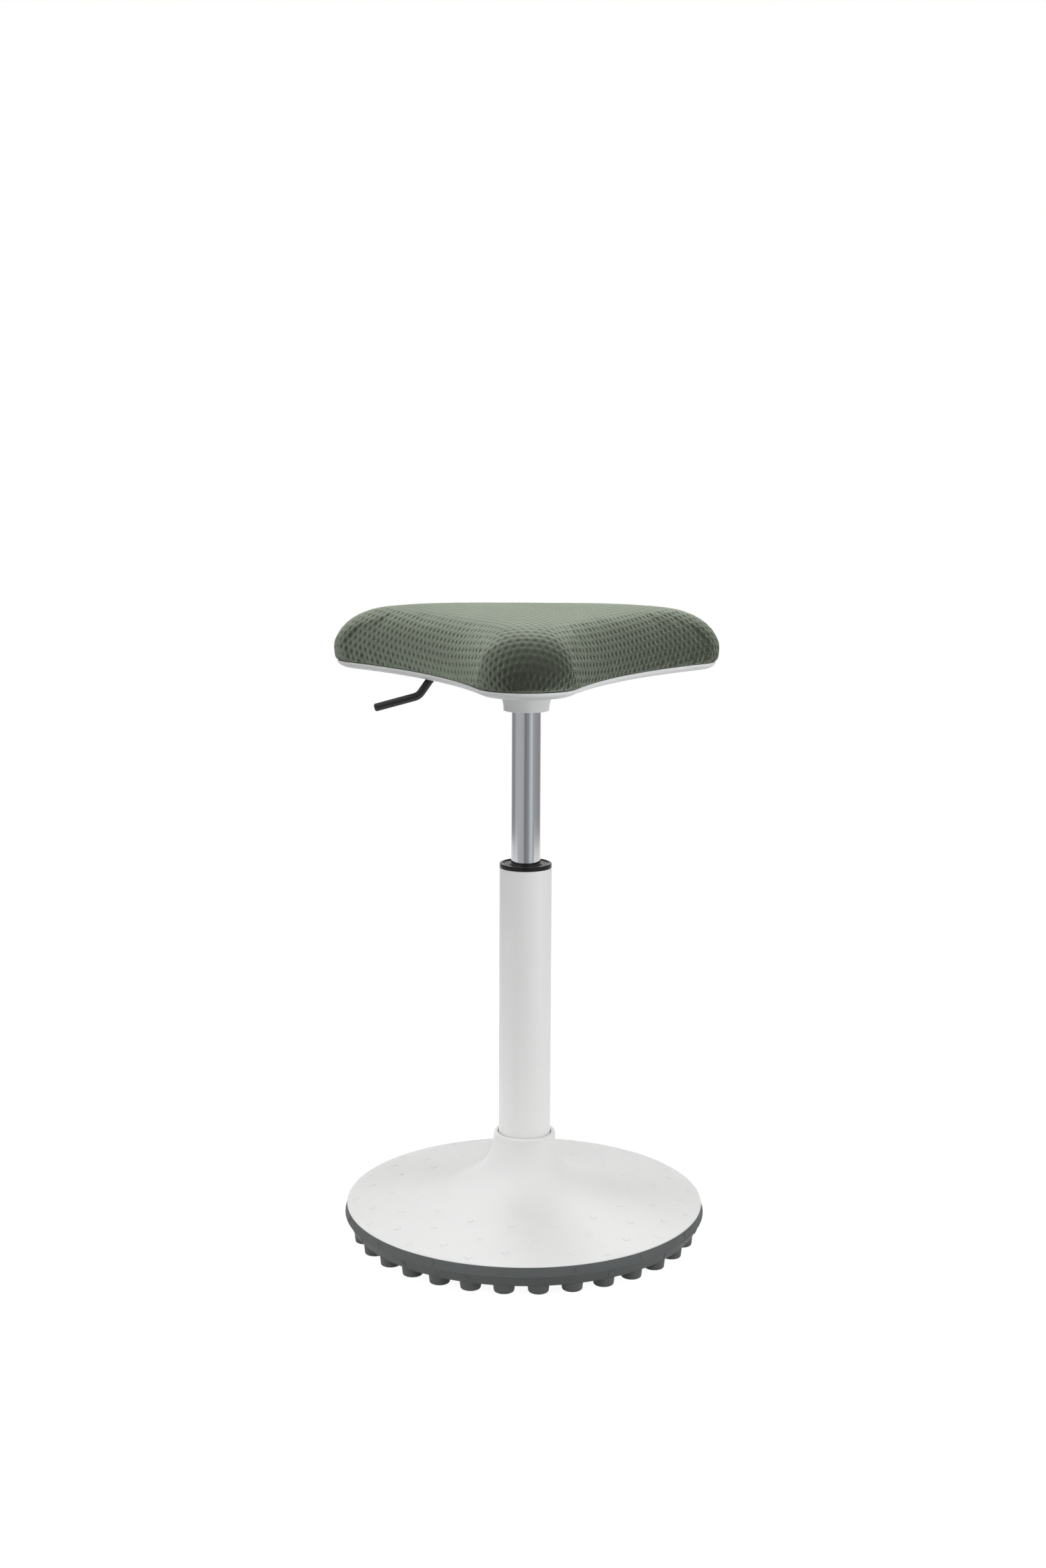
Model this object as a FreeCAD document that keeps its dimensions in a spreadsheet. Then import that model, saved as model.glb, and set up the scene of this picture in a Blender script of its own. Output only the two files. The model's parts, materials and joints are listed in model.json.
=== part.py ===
"""Office stool: a round weighted base, a gas spring column and a three-lobed swivel seat.

The origin is on the floor under the column's axis. +Z is up, and the seat's front lobe points
along -Y. Lengths are in millimetres.
"""
import FreeCAD
import Part
import Sketcher
import math
import os
from FreeCAD import Placement, Rotation, Vector

# Driving sizes, each written once
SIZES = {
    # Rubber sole
    "sole_stud_height": 8.0,
    "sole_web": 4.0,
    "sole_bulge": 1.4,
    "sole_foot_inset": 6.6,
    "sole_shoulder_inset": 3.2,
    "sole_shoulder_height": 10.5,
    "sole_line_height": 19.7,
    "stud_inset": 14.1,
    "stud_radius": 10.2,
    "stud_draft": 0.9,
    "stud_count": 32,
    "centre_pad_radius": 30.0,
    # Base cover
    "rim_radius": 172.6,
    "rim_height": 28.0,
    "rim_round": 2.2,
    "rim_ledge": 2.0,
    "rim_lip_depth": 3.0,
    "cover_wall": 3.0,
    "flare_reach": 45.0,
    "flare_height": 44.1,
    "collar_wall": 4.1,
    "collar_height": 97.0,
    "collar_bevel": 1.4,
    "collar_gap": 0.9,
    "collar_straight": 5.0,
    "flare_upper_bend": 45.7,
    "flare_middle_bend": 44.0,
    "flare_lower_bend": 58.0,
    "cover_boss_radius": 5.0,
    "cover_boss_inset": 10.0,
    # Cast foot plate
    "plate_inset": 6.8,
    "plate_thickness": 8.0,
    "hub_wall": 8.0,
    "hub_draft": 1.5,
    "hub_drop": 30.0,
    "hub_fillet": 6.0,
    "hub_step": 3.0,
    "rib_thickness": 6.0,
    "rib_reach": 100.0,
    "rib_height": 24.0,
    "rib_count": 6,
    # Screws under the base
    "base_screw_count": 6,
    "cover_screw_radius": 2.0,
    "cover_screw_head_radius": 3.8,
    "cover_screw_head_height": 3.0,
    "cover_screw_length": 17.0,
    "sole_screw_ring": 72.0,
    "sole_screw_radius": 2.5,
    "sole_screw_head_radius": 5.0,
    "sole_screw_head_height": 2.8,
    "sole_screw_length": 10.0,
    # Outer column
    "post_radius": 25.0,
    "post_wall": 2.0,
    "post_foot": 22.0,
    "post_taper_margin": 4.0,
    "post_taper": 0.55,
    "post_top": 358.4,
    "post_bevel": 0.5,
    "post_floor_lift": 2.0,
    "post_floor": 4.0,
    "running_gap": 0.06,
    # Guide bush
    "bush_length": 88.4,
    "bush_wall": 2.2,
    "bush_cap": 8.0,
    "bush_rib": 2.0,
    "bush_rib_count": 4,
    "ring_height": 4.1,
    "ring_bevel": 0.8,
    "ring_flat_width": 2.8,
    "ring_recess": 0.8,
    "wiper_width": 1.6,
    "wiper_slope": 1.2,
    # Thrust bearing, buffer and rod end
    "washer_thickness": 2.5,
    "washer_radius": 15.0,
    "washer_play": 0.5,
    "roller_radius": 2.48,
    "roller_play": 0.02,
    "roller_start": 8.0,
    "roller_length": 5.0,
    "roller_count": 8,
    "cage_thickness": 2.0,
    "cage_edge": 0.7,
    "cage_play": 0.07,
    "buffer_height": 21.0,
    "buffer_radius": 13.0,
    "buffer_play": 0.2,
    "rod_radius": 5.0,
    "rod_neck_radius": 4.0,
    "rod_groove_radius": 3.2,
    "rod_tail": 1.2,
    "rod_washer_radius": 11.0,
    "rod_washer_thickness": 1.2,
    "clip_radius": 7.5,
    "clip_thickness": 1.2,
    # Piston
    "piston_bottom": 307.0,
    "piston_height": 15.0,
    "piston_gap": 0.05,
    "piston_seal_height": 4.0,
    "piston_seal_depth": 1.8,
    "rod_tip_radius": 3.0,
    "piston_nut_height": 4.0,
    "piston_nut_flats": 10.0,
    # Gas spring cylinder
    "tube_radius": 14.0,
    "tube_wall": 1.5,
    "tube_length": 359.0,
    "tube_top": 544.0,
    "tube_taper": 0.4,
    "tube_lip": 6.0,
    "tube_top_hole": 5.0,
    "inner_tube_gap": 1.5,
    "inner_tube_wall": 1.0,
    "seal_washer_thickness": 3.5,
    "rod_seal_height": 6.0,
    "rod_seal_gap": 0.05,
    "rod_guide_height": 10.0,
    "rod_guide_nose": 4.0,
    # Release valve
    "valve_depth": 92.0,
    "valve_plug": 6.0,
    "valve_pin_radius": 3.0,
    "valve_pin_lift": 10.0,
    "valve_pin_point": 4.0,
    "valve_pin_rise": 4.25,
    "valve_pin_dome": 0.9,
    "valve_seal_height": 2.4,
    "valve_seal_width": 1.9,
    "valve_seal_gap": 0.04,
    "valve_seal_pitch": 32.0,
    # Socket under the seat
    "socket_grip": 32.5,
    "socket_wall": 4.0,
    "socket_chamber_inset": 2.0,
    "socket_floor_lift": 0.4,
    "flange_play": 2.0,
    "flange_thickness": 3.0,
    "flange_margin": 10.0,
    "flange_slope": 6.0,
    "flange_slope_height": 3.0,
    "ear_start": 14.0,
    "ear_end": 33.0,
    "ear_thickness": 3.5,
    "ear_drop": 7.0,
    "socket_screw_ring": 36.0,
    "socket_screw_count": 4,
    "socket_screw_radius": 3.0,
    "socket_screw_head_radius": 5.0,
    "socket_screw_head_height": 4.0,
    "tee_nut_radius": 8.0,
    "tee_nut_barrel": 4.0,
    "tee_nut_flange": 1.2,
    # Release lever and rocker
    "lever_bearing": 190.0,
    "lever_radius": 3.75,
    "lever_lift": 8.5,
    "lever_start": 12.0,
    "lever_knee_inset": 26.7,
    "lever_leg_reach": 20.6,
    "lever_elbow_drop": 28.8,
    "lever_grip_reach": 41.4,
    "lever_end_drop": 39.3,
    "lever_knee_bend": 10.0,
    "lever_elbow_bend": 12.0,
    "rocker_width": 13.4,
    "rocker_side_gap": 0.3,
    "rocker_nose": 5.0,
    "rocker_tail": 34.0,
    "rocker_nose_length": 13.0,
    "rocker_half_height": 5.5,
    "rocker_nose_gap": 0.15,
    "rocker_chamfer": 1.6,
    "pivot_distance": 24.0,
    "pivot_radius": 2.0,
    "pivot_clip_radius": 4.0,
    "pivot_clip_thickness": 0.8,
    "pivot_tail": 1.8,
    "pivot_groove_depth": 0.5,
    # Seat outline and shell
    "seat_tip": 206.5,
    "seat_lobe": 44.5,
    "seat_hollow": 17.5,
    "seat_lift": 4.0,
    "shell_depth": 7.0,
    "shell_edge": 14.0,
    "shell_wall": 3.0,
    "neck_drop": 3.1,
    "neck_gap": 0.6,
    "neck_straight": 2.1,
    "neck_round": 0.8,
    "neck_waist_reach": 7.9,
    "neck_waist_rise": 19.6,
    "neck_foot_reach": 38.4,
    "neck_upper_bend": 23.3,
    "neck_lower_bend": 52.8,
    "lever_slot_lead": 0.8,
    "lever_slot_length": 21.0,
    "lever_slot_width": 9.6,
    "lever_notch": 4.0,
    "shell_screw_inset": 12.0,
    "shell_screw_radius": 2.5,
    "shell_screw_head_radius": 4.6,
    "shell_screw_head_height": 2.6,
    "shell_screw_length": 15.0,
    "shell_boss_radius": 7.5,
    "shell_boss_height": 4.0,
    "shell_counterbore": 3.4,
    # Pan and cushion
    "pan_inset": 14.5,
    "pan_wall": 3.5,
    "pan_thickness": 6.0,
    "cushion_height": 57.0,
    "cover_cloth": 1.5,
    "overrun": 1.0,
}

# Angles, in degrees
STUD_PHASE = -85.2
COVER_SCREW_PHASE = 30.0
SOCKET_SCREW_PHASE = 55.0
FRONT_LOBE = -90.0
LOBE_STEP = 120.0

# Sections of the cushion, each as shares of its height and of the outline's tip, flank and lobe
CUSHION_SECTION_SHARES = [
    (0.000, 1.000, 1.000, 1.000),
    (0.211, 1.012, 1.022, 1.054),
    (0.439, 0.995, 0.991, 0.960),
    (0.614, 0.955, 0.936, 0.825),
    (0.754, 0.893, 0.870, 0.640),
    (0.877, 0.782, 0.750, 0.551),
    (0.956, 0.559, 0.537, 0.517),
    (1.000, 0.322, 0.306, 0.371),
]

# Sections of the cover's inside and of the foam in it, in the same shares
LINING_SECTION_SHARES = [
    (0.000, 1.000, 1.000, 1.000),
    (0.439, 0.995, 0.991, 0.960),
    (0.754, 0.893, 0.870, 0.640),
    (1.000, 0.400, 0.380, 0.420),
]

# Sections of the shell's edge, each as shares of its depth and of its inward reach
SHELL_SECTION_SHARES = [(0.00, 1.00), (0.23, 0.36), (1.00, 0.00)]

# The flare under the collar, as shares of its reach and of its height
FLARE_UPPER_SHARES = (0.082, 0.626)
FLARE_LOWER_SHARES = (0.342, 0.290)
FLARE_INSIDE_SHARES = (0.620, 0.044)

# The dome between the flare and the rim, as shares of its reach and of its height
DOME_OUTER_SHARES = (0.5635, 0.5155)
DOME_SHOULDER_SHARES = (0.7787, 0.3354)

doc = FreeCAD.newDocument("OfficeStool")
sheet = doc.addObject("Spreadsheet::Sheet", "Sizes")
for row, (size_name, size_value) in enumerate(SIZES.items(), start=1):
    sheet.set(f"A{row}", size_name)
    sheet.set(f"B{row}", str(size_value))
    sheet.setAlias(f"B{row}", size_name)
doc.recompute()


class Size:
    """A length as its value now and as the expression that gives it in the document."""

    def __init__(self, value, text):
        self.value = float(value)
        self.text = text

    @staticmethod
    def of(other):
        """Return other as a Size."""
        return other if isinstance(other, Size) else Size(other, repr(other))

    def __add__(self, other):
        other = Size.of(other)
        return Size(self.value + other.value, f"({self.text} + {other.text})")

    def __sub__(self, other):
        other = Size.of(other)
        return Size(self.value - other.value, f"({self.text} - {other.text})")

    def __mul__(self, other):
        other = Size.of(other)
        return Size(self.value * other.value, f"({self.text} * {other.text})")

    def __truediv__(self, other):
        other = Size.of(other)
        return Size(self.value / other.value, f"({self.text} / {other.text})")

    def __neg__(self):
        return Size(-self.value, f"(-{self.text})")


class SheetSizes:
    """Every named size, read from the spreadsheet."""

    def __init__(self):
        for name in SIZES:
            setattr(self, name, Size(sheet.get(name), f"Sizes.{name}"))


S = SheetSizes()
ZERO = Size(0.0, "0")
parts = []


# Sketches
def origin_feature(body, role):
    """Return one of a body's own origin planes or axes."""
    return [item for item in body.Origin.OriginFeatures if item.Role == role][0]


def new_body(name):
    """Start a sub-part as a body under its own label."""
    body = doc.addObject("PartDesign::Body", name)
    body.Label = name
    body.AllowCompound = True
    parts.append(body)
    return body


def new_sketch(body, name, plane, lift=None, turn=0.0):
    """Add a sketch on an origin plane, lifted along its normal and turned about the column's axis."""
    sketch = body.newObject("Sketcher::SketchObject", f"{body.Name}_{name}")
    sketch.AttachmentSupport = [(origin_feature(body, plane), "")]
    sketch.MapMode = "FlatFace"
    upright = Vector(0, 0, 1) if plane == "XY_Plane" else Vector(0, 1, 0)
    base = Vector(0, 0, lift.value if lift else 0)
    sketch.AttachmentOffset = Placement(base, Rotation(upright, turn))
    if lift:
        sketch.setExpression("AttachmentOffset.Base.z", lift.text)
    return sketch


def bind(sketch, kind, arguments, size):
    """Add a constraint whose value follows a named size."""
    index = sketch.addConstraint(Sketcher.Constraint(kind, *arguments, size.value))
    sketch.setExpression(f"Constraints[{index}]", size.text)


def pin_point(sketch, edge, end, x, y):
    """Fix a point at the distances x and y from the sketch's origin."""
    if x.value == 0:
        sketch.addConstraint(Sketcher.Constraint("PointOnObject", edge, end, -2))
    else:
        bind(sketch, "DistanceX", (-1, 1, edge, end), x)
    if y.value == 0:
        sketch.addConstraint(Sketcher.Constraint("PointOnObject", edge, end, -1))
    else:
        bind(sketch, "DistanceY", (-1, 1, edge, end), y)


def arc_between(start, finish, radius, side):
    """Return an arc that bulges to the left (side 1) or right (side -1) of the way it is drawn."""
    chord = finish - start
    middle = (start + finish) / 2
    half = chord.Length / 2
    left = Vector(-chord.y, chord.x, 0).normalize()
    centre = middle - left * side * math.sqrt(max(radius * radius - half * half, 0.0))
    angles = [math.atan2(point.y - centre.y, point.x - centre.x) for point in (start, finish)]
    if side > 0:
        angles.reverse()
    circle = Part.Circle(centre, Vector(0, 0, 1), radius)
    if angles[1] < angles[0]:
        angles[1] += 2 * math.pi
    return Part.ArcOfCircle(circle, angles[0], angles[1])


def draw_outline(sketch, points, arcs=None, closed=True):
    """Draw lines through points of (x, y) sizes. arcs maps an edge's number to its radius and side."""
    arcs = arcs or {}
    places = [Vector(x.value, y.value, 0) for x, y in points]
    count = len(points) if closed else len(points) - 1
    ends = []
    for i in range(count):
        start, finish = places[i], places[(i + 1) % len(places)]
        if i in arcs:
            radius, side = arcs[i]
            sketch.addGeometry(arc_between(start, finish, radius.value, side))
            ends.append((2, 1) if side > 0 else (1, 2))
        else:
            sketch.addGeometry(Part.LineSegment(start, finish))
            ends.append((1, 2))
    for i in range(count if closed else count - 1):
        following = (i + 1) % count
        sketch.addConstraint(
            Sketcher.Constraint("Coincident", i, ends[i][1], following, ends[following][0]))
    for i in range(count):
        pin_point(sketch, i, ends[i][0], *points[i])
        if i in arcs:
            bind(sketch, "Radius", (i,), arcs[i][0])
    if not closed:
        pin_point(sketch, count - 1, ends[count - 1][1], *points[-1])


def draw_circle(sketch, x, y, radius):
    """Draw a circle of a named radius round the point (x, y)."""
    index = sketch.addGeometry(Part.Circle(Vector(x.value, y.value, 0), Vector(0, 0, 1), radius.value))
    pin_point(sketch, index, 3, x, y)
    bind(sketch, "Radius", (index,), radius)


def draw_axis(sketch, x, bottom, top):
    """Draw an upright construction line to turn an outline about, and return its name."""
    line = Part.LineSegment(Vector(x.value, bottom.value, 0), Vector(x.value, top.value, 0))
    index = sketch.addGeometry(line, True)
    pin_point(sketch, index, 1, x, bottom)
    pin_point(sketch, index, 2, x, top)
    return "Axis0"


# Features
def add_turned(body, name, points, arcs=None, turn=0.0, axis="V_Axis", cut=False):
    """Turn an outline in the upright plane about the column's axis, one of its own edges or a line."""
    sketch = new_sketch(body, f"{name}_outline", "XZ_Plane", turn=turn)
    draw_outline(sketch, points, arcs)
    if isinstance(axis, Size):
        axis = draw_axis(sketch, axis, points[0][1], points[-1][1])
    kind = "PartDesign::Groove" if cut else "PartDesign::Revolution"
    feature = body.newObject(kind, f"{body.Name}_{name}")
    feature.Profile = sketch
    feature.ReferenceAxis = (sketch, [axis])
    feature.Angle = 360
    body.Tip = feature
    return feature


def turned(name, points, arcs=None):
    """Make a sub-part by turning its outline about the column's axis."""
    body = new_body(name)
    add_turned(body, "turned", points, arcs)
    return body


def ring(name, inner, outer, bottom, top):
    """Make a plain ring as a sub-part."""
    return turned(name, [(inner, bottom), (outer, bottom), (outer, top), (inner, top)])


def add_pad(body, name, draw, plane, lift, length, turn=0.0, cut=False, middle=False, up=True):
    """Pad or cut a sketch that draw fills in."""
    sketch = new_sketch(body, f"{name}_outline", plane, lift, turn)
    draw(sketch)
    feature = body.newObject("PartDesign::Pocket" if cut else "PartDesign::Pad", f"{body.Name}_{name}")
    feature.Profile = sketch
    feature.Length = length.value
    feature.setExpression("Length", length.text)
    if middle:
        feature.Midplane = True
    feature.Reversed = up if cut else not up
    body.Tip = feature
    return feature


def repeat(body, features, count):
    """Repeat features evenly round the column's axis."""
    pattern = body.newObject("PartDesign::PolarPattern", f"{features[0].Name}_ring")
    pattern.Originals = features
    pattern.Axis = (origin_feature(body, "Z_Axis"), [""])
    pattern.Angle = 360
    pattern.Occurrences = int(count.value)
    pattern.setExpression("Occurrences", count.text)
    body.Tip = pattern
    return pattern


def screw_ring(name, ring_radius, bottom, head, shank, length, count, phase):
    """Make a ring of upright screws, heads down, as one sub-part. head is its radius and height."""
    head_radius, head_height = head
    seat = bottom + head_height
    body = new_body(name)
    screw = add_turned(body, "screw", [
        (ring_radius, bottom),
        (ring_radius + head_radius, bottom),
        (ring_radius + head_radius, seat),
        (ring_radius + shank, seat),
        (ring_radius + shank, seat + length),
        (ring_radius, seat + length),
    ], turn=phase, axis="Edge6")
    repeat(body, [screw], count)
    return body


def cut_round_holes(body, name, x, radius, lift, depth, count, phase):
    """Cut a ring of round holes upwards from lift."""
    hole = add_pad(body, name, lambda sketch: draw_circle(sketch, x, ZERO, radius),
                   "XY_Plane", lift, depth, turn=phase, cut=True)
    repeat(body, [hole], count)


def add_part_feature(name, shape):
    """Add a sub-part whose shape is worked out from the sheet's sizes."""
    feature = doc.addObject("Part::Feature", name)
    feature.Label = name
    feature.Shape = shape
    parts.append(feature)
    return feature


# Radii that follow another size by a named step
collar_radius = S.post_radius + S.collar_gap + S.collar_wall
hub_radius = S.post_radius + S.hub_wall
hub_top_radius = hub_radius - S.hub_draft
plate_radius = S.rim_radius - S.plate_inset
sole_edge_radius = S.rim_radius + S.sole_bulge
sole_shoulder_radius = S.rim_radius - S.sole_shoulder_inset
sole_foot_radius = S.rim_radius - S.sole_foot_inset
stud_ring_radius = S.rim_radius - S.stud_inset
flare_radius = collar_radius + S.flare_reach
dome_reach = S.rim_radius - flare_radius
dome_outer_radius = flare_radius + dome_reach * DOME_OUTER_SHARES[0]
dome_shoulder_radius = flare_radius + dome_reach * DOME_SHOULDER_SHARES[0]
cover_boss_ring = dome_outer_radius - S.cover_boss_inset
tube_bore = S.tube_radius - S.tube_wall
inner_tube_radius = tube_bore - S.inner_tube_gap
inner_bore = inner_tube_radius - S.inner_tube_wall
socket_radius = S.tube_radius + S.socket_wall
socket_chamber_radius = S.tube_radius - S.socket_chamber_inset
flange_radius = S.socket_screw_ring + S.flange_margin
neck_radius = socket_radius + S.neck_gap + S.shell_wall
neck_waist_radius = neck_radius + S.neck_waist_reach
neck_foot_radius = neck_radius + S.neck_foot_reach
seat_flank = (S.seat_tip + S.seat_lobe) / 2 - S.seat_hollow
shell_screw_ring = S.seat_tip - S.seat_lobe - S.shell_screw_inset
lever_knee = seat_flank - S.lever_knee_inset
lever_elbow = lever_knee + S.lever_leg_reach
lever_end = lever_elbow + S.lever_grip_reach
lever_slot_start = lever_knee - S.lever_slot_lead
lever_slot_end = lever_slot_start + S.lever_slot_length

# Heights that follow another size by a named step
plate_bottom = S.sole_stud_height + S.sole_web
plate_top = plate_bottom + S.plate_thickness
dome_rise = S.flare_height - S.rim_height
dome_outer_height = S.rim_height + dome_rise * DOME_OUTER_SHARES[1]
dome_shoulder_height = S.rim_height + dome_rise * DOME_SHOULDER_SHARES[1]
hub_height = S.collar_height - S.collar_straight - S.hub_drop
post_taper_top = hub_height + S.post_taper_margin
bush_bottom = S.post_top - S.bush_length
post_floor_bottom = S.post_foot + S.post_floor_lift
post_floor_top = post_floor_bottom + S.post_floor
roller_height = S.roller_radius * 2 + S.roller_play * 2
race_top = post_floor_top + S.washer_thickness
top_washer_bottom = race_top + roller_height
buffer_bottom = top_washer_bottom + S.washer_thickness
piston_top = S.piston_bottom + S.piston_height
tube_bottom = S.tube_top - S.tube_length
seal_bottom = tube_bottom + S.tube_wall + S.seal_washer_thickness
guide_bottom = seal_bottom + S.rod_seal_height
guide_shelf = guide_bottom + S.rod_guide_height
valve_bottom = S.tube_top - S.valve_depth
valve_shelf = valve_bottom + S.valve_plug
valve_pin_bottom = valve_bottom + S.valve_pin_lift
socket_bottom = S.tube_top - S.socket_grip
lever_height = S.tube_top + S.lever_lift
lever_elbow_height = lever_height - S.lever_elbow_drop
lever_end_height = lever_height - S.lever_end_drop
rocker_top = lever_height + S.rocker_half_height
rocker_bottom = lever_height - S.rocker_half_height
ear_bottom = lever_height - S.ear_drop
flange_bottom = rocker_top + S.flange_play
flange_top = flange_bottom + S.flange_thickness
neck_bottom = socket_bottom - S.neck_drop
neck_waist_height = neck_bottom + S.neck_waist_rise
seat_line = S.tube_top + S.seat_lift
shell_bottom = seat_line - S.shell_depth
shell_floor = shell_bottom + S.shell_wall
pan_top = flange_top + S.pan_thickness


# Base
def make_sole():
    """Rubber sole: web, rim with its moulding line, ring of studs and centre pad."""
    ledge_radius = S.rim_radius - S.rim_ledge
    ledge_height = S.rim_height - S.rim_lip_depth
    inner_radius = plate_radius + S.overrun
    body = turned("rubber_sole", [
        (ZERO, S.sole_stud_height),
        (sole_foot_radius, S.sole_stud_height),
        (sole_shoulder_radius, S.sole_shoulder_height),
        (sole_edge_radius, S.sole_line_height),
        (S.rim_radius, S.rim_height),
        (ledge_radius, S.rim_height),
        (ledge_radius, ledge_height),
        (inner_radius, ledge_height),
        (inner_radius, plate_bottom),
        (ZERO, plate_bottom),
    ])
    x = stud_ring_radius
    foot = S.stud_radius - S.stud_draft
    root = S.sole_stud_height + S.overrun
    stud = add_turned(body, "stud", [
        (x, ZERO),
        (x + foot, ZERO),
        (x + S.stud_radius, root),
        (x, root),
    ], turn=STUD_PHASE, axis="Edge4")
    repeat(body, [stud], S.stud_count)
    add_turned(body, "centre_pad", [
        (ZERO, ZERO),
        (S.centre_pad_radius, ZERO),
        (S.centre_pad_radius, root),
        (ZERO, root),
    ])
    cut_round_holes(body, "screw_hole", S.sole_screw_ring, S.sole_screw_radius, S.sole_stud_height,
                    S.sole_web + S.overrun, S.base_screw_count, 0.0)
    return body


def make_base_weight():
    """Cast iron foot plate with its ribbed, tapered hub."""
    taper = S.post_taper / (post_taper_top - S.post_foot)
    hub_bore = S.post_radius - taper * (post_taper_top - hub_height)
    foot_bore = S.post_radius - S.post_taper
    body = turned("base_weight", [
        (foot_bore - S.hub_step, plate_bottom),
        (plate_radius, plate_bottom),
        (plate_radius, plate_top),
        (hub_radius + S.hub_fillet, plate_top),
        (hub_radius, plate_top + S.hub_fillet),
        (hub_top_radius, hub_height),
        (hub_bore, hub_height),
        (foot_bore, S.post_foot),
        (foot_bore - S.hub_step, S.post_foot),
    ])
    rib_start = hub_radius - S.rib_thickness / 2

    def draw_rib(sketch):
        draw_outline(sketch, [
            (rib_start, plate_top - S.overrun),
            (S.rib_reach, plate_top - S.overrun),
            (S.rib_reach, plate_top),
            (rib_start, plate_top + S.rib_height),
        ])

    rib = add_pad(body, "rib", draw_rib, "XZ_Plane", None, S.rib_thickness, middle=True)
    repeat(body, [rib], S.rib_count)
    cut_round_holes(body, "cover_screw_hole", cover_boss_ring, S.cover_screw_radius,
                    plate_bottom - S.overrun, S.plate_thickness + S.overrun * 2,
                    S.base_screw_count, COVER_SCREW_PHASE)
    cut_round_holes(body, "cover_screw_head", cover_boss_ring, S.cover_screw_head_radius,
                    plate_bottom - S.overrun, S.cover_screw_head_height + S.overrun,
                    S.base_screw_count, COVER_SCREW_PHASE)
    cut_round_holes(body, "sole_screw_hole", S.sole_screw_ring, S.sole_screw_radius,
                    plate_bottom - S.overrun, S.plate_thickness + S.overrun * 2,
                    S.base_screw_count, 0.0)
    return body


def make_base_cover():
    """White cover: collar, flare and shallow dome, with bosses for its screws."""
    wall = S.cover_wall
    lip = S.rim_radius - S.rim_ledge
    lip_foot = S.rim_height - S.rim_lip_depth
    collar_bore = S.post_radius + S.collar_gap
    straight = S.collar_height - S.collar_straight
    reach = flare_radius - collar_radius
    height = straight - S.flare_height
    upper = (collar_radius + reach * FLARE_UPPER_SHARES[0],
             S.flare_height + height * FLARE_UPPER_SHARES[1])
    lower = (collar_radius + reach * FLARE_LOWER_SHARES[0],
             S.flare_height + height * FLARE_LOWER_SHARES[1])
    inside = (collar_radius + reach * FLARE_INSIDE_SHARES[0],
              S.flare_height + height * FLARE_INSIDE_SHARES[1])
    slant = wall * 0.92, wall * 0.4
    turn = wall * 0.65, wall * 0.76
    points = [
        (collar_bore, straight),
        (collar_bore, S.collar_height - S.collar_bevel / 2),
        (collar_bore + S.collar_bevel / 2, S.collar_height),
        (collar_radius - S.collar_bevel, S.collar_height),
        (collar_radius, S.collar_height - S.collar_bevel),
        (collar_radius, straight),
        upper,
        lower,
        (flare_radius, S.flare_height),
        (dome_outer_radius, dome_outer_height),
        (dome_shoulder_radius, dome_shoulder_height),
        (S.rim_radius - S.rim_round, S.rim_height + S.rim_round * 0.6),
        (S.rim_radius, S.rim_height),
        (lip, S.rim_height),
        (lip, lip_foot),
        (lip - wall, lip_foot),
        (lip - wall, S.rim_height),
        (dome_outer_radius, dome_outer_height - wall),
        (flare_radius, S.flare_height - wall),
        inside,
        (lower[0] - turn[0], lower[1] - turn[1]),
        (upper[0] - slant[0], upper[1] - slant[1]),
        (collar_radius - wall, straight),
    ]
    body = turned("base_cover", points, arcs={
        5: (S.flare_upper_bend, -1),
        6: (S.flare_middle_bend, -1),
        7: (S.flare_lower_bend, -1),
    })
    boss = add_pad(body, "boss", lambda sketch: draw_circle(sketch, cover_boss_ring, ZERO,
                                                            S.cover_boss_radius),
                   "XY_Plane", plate_top, dome_outer_height - plate_top, turn=COVER_SCREW_PHASE)
    repeat(body, [boss], S.base_screw_count)
    cut_round_holes(body, "screw_hole", cover_boss_ring, S.cover_screw_radius,
                    plate_top - S.overrun, S.cover_screw_length - S.plate_thickness
                    + S.cover_screw_head_height + S.overrun, S.base_screw_count, COVER_SCREW_PHASE)
    return body


def make_base_screws():
    """Screws of the cover, sunk in the foot plate, and of the sole, under its web."""
    screw_ring("cover_screws", cover_boss_ring, plate_bottom,
               (S.cover_screw_head_radius, S.cover_screw_head_height), S.cover_screw_radius,
               S.cover_screw_length, S.base_screw_count, COVER_SCREW_PHASE)
    screw_ring("sole_screws", S.sole_screw_ring, S.sole_stud_height - S.sole_screw_head_height,
               (S.sole_screw_head_radius, S.sole_screw_head_height), S.sole_screw_radius,
               S.sole_screw_length, S.base_screw_count, 0.0)


# Column
def make_standpipe():
    """Outer column with its tapered foot and the floor that carries the thrust bearing."""
    bore = S.post_radius - S.post_wall
    turned("standpipe", [
        (S.rod_neck_radius + S.running_gap, post_floor_bottom),
        (bore - S.post_taper, post_floor_bottom),
        (bore - S.post_taper, S.post_foot),
        (S.post_radius - S.post_taper, S.post_foot),
        (S.post_radius, post_taper_top),
        (S.post_radius, S.post_top - S.post_bevel),
        (S.post_radius - S.post_bevel, S.post_top),
        (bore, S.post_top),
        (bore, post_taper_top),
        (bore - S.post_taper, post_floor_top),
        (S.rod_neck_radius + S.running_gap, post_floor_top),
    ])


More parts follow.
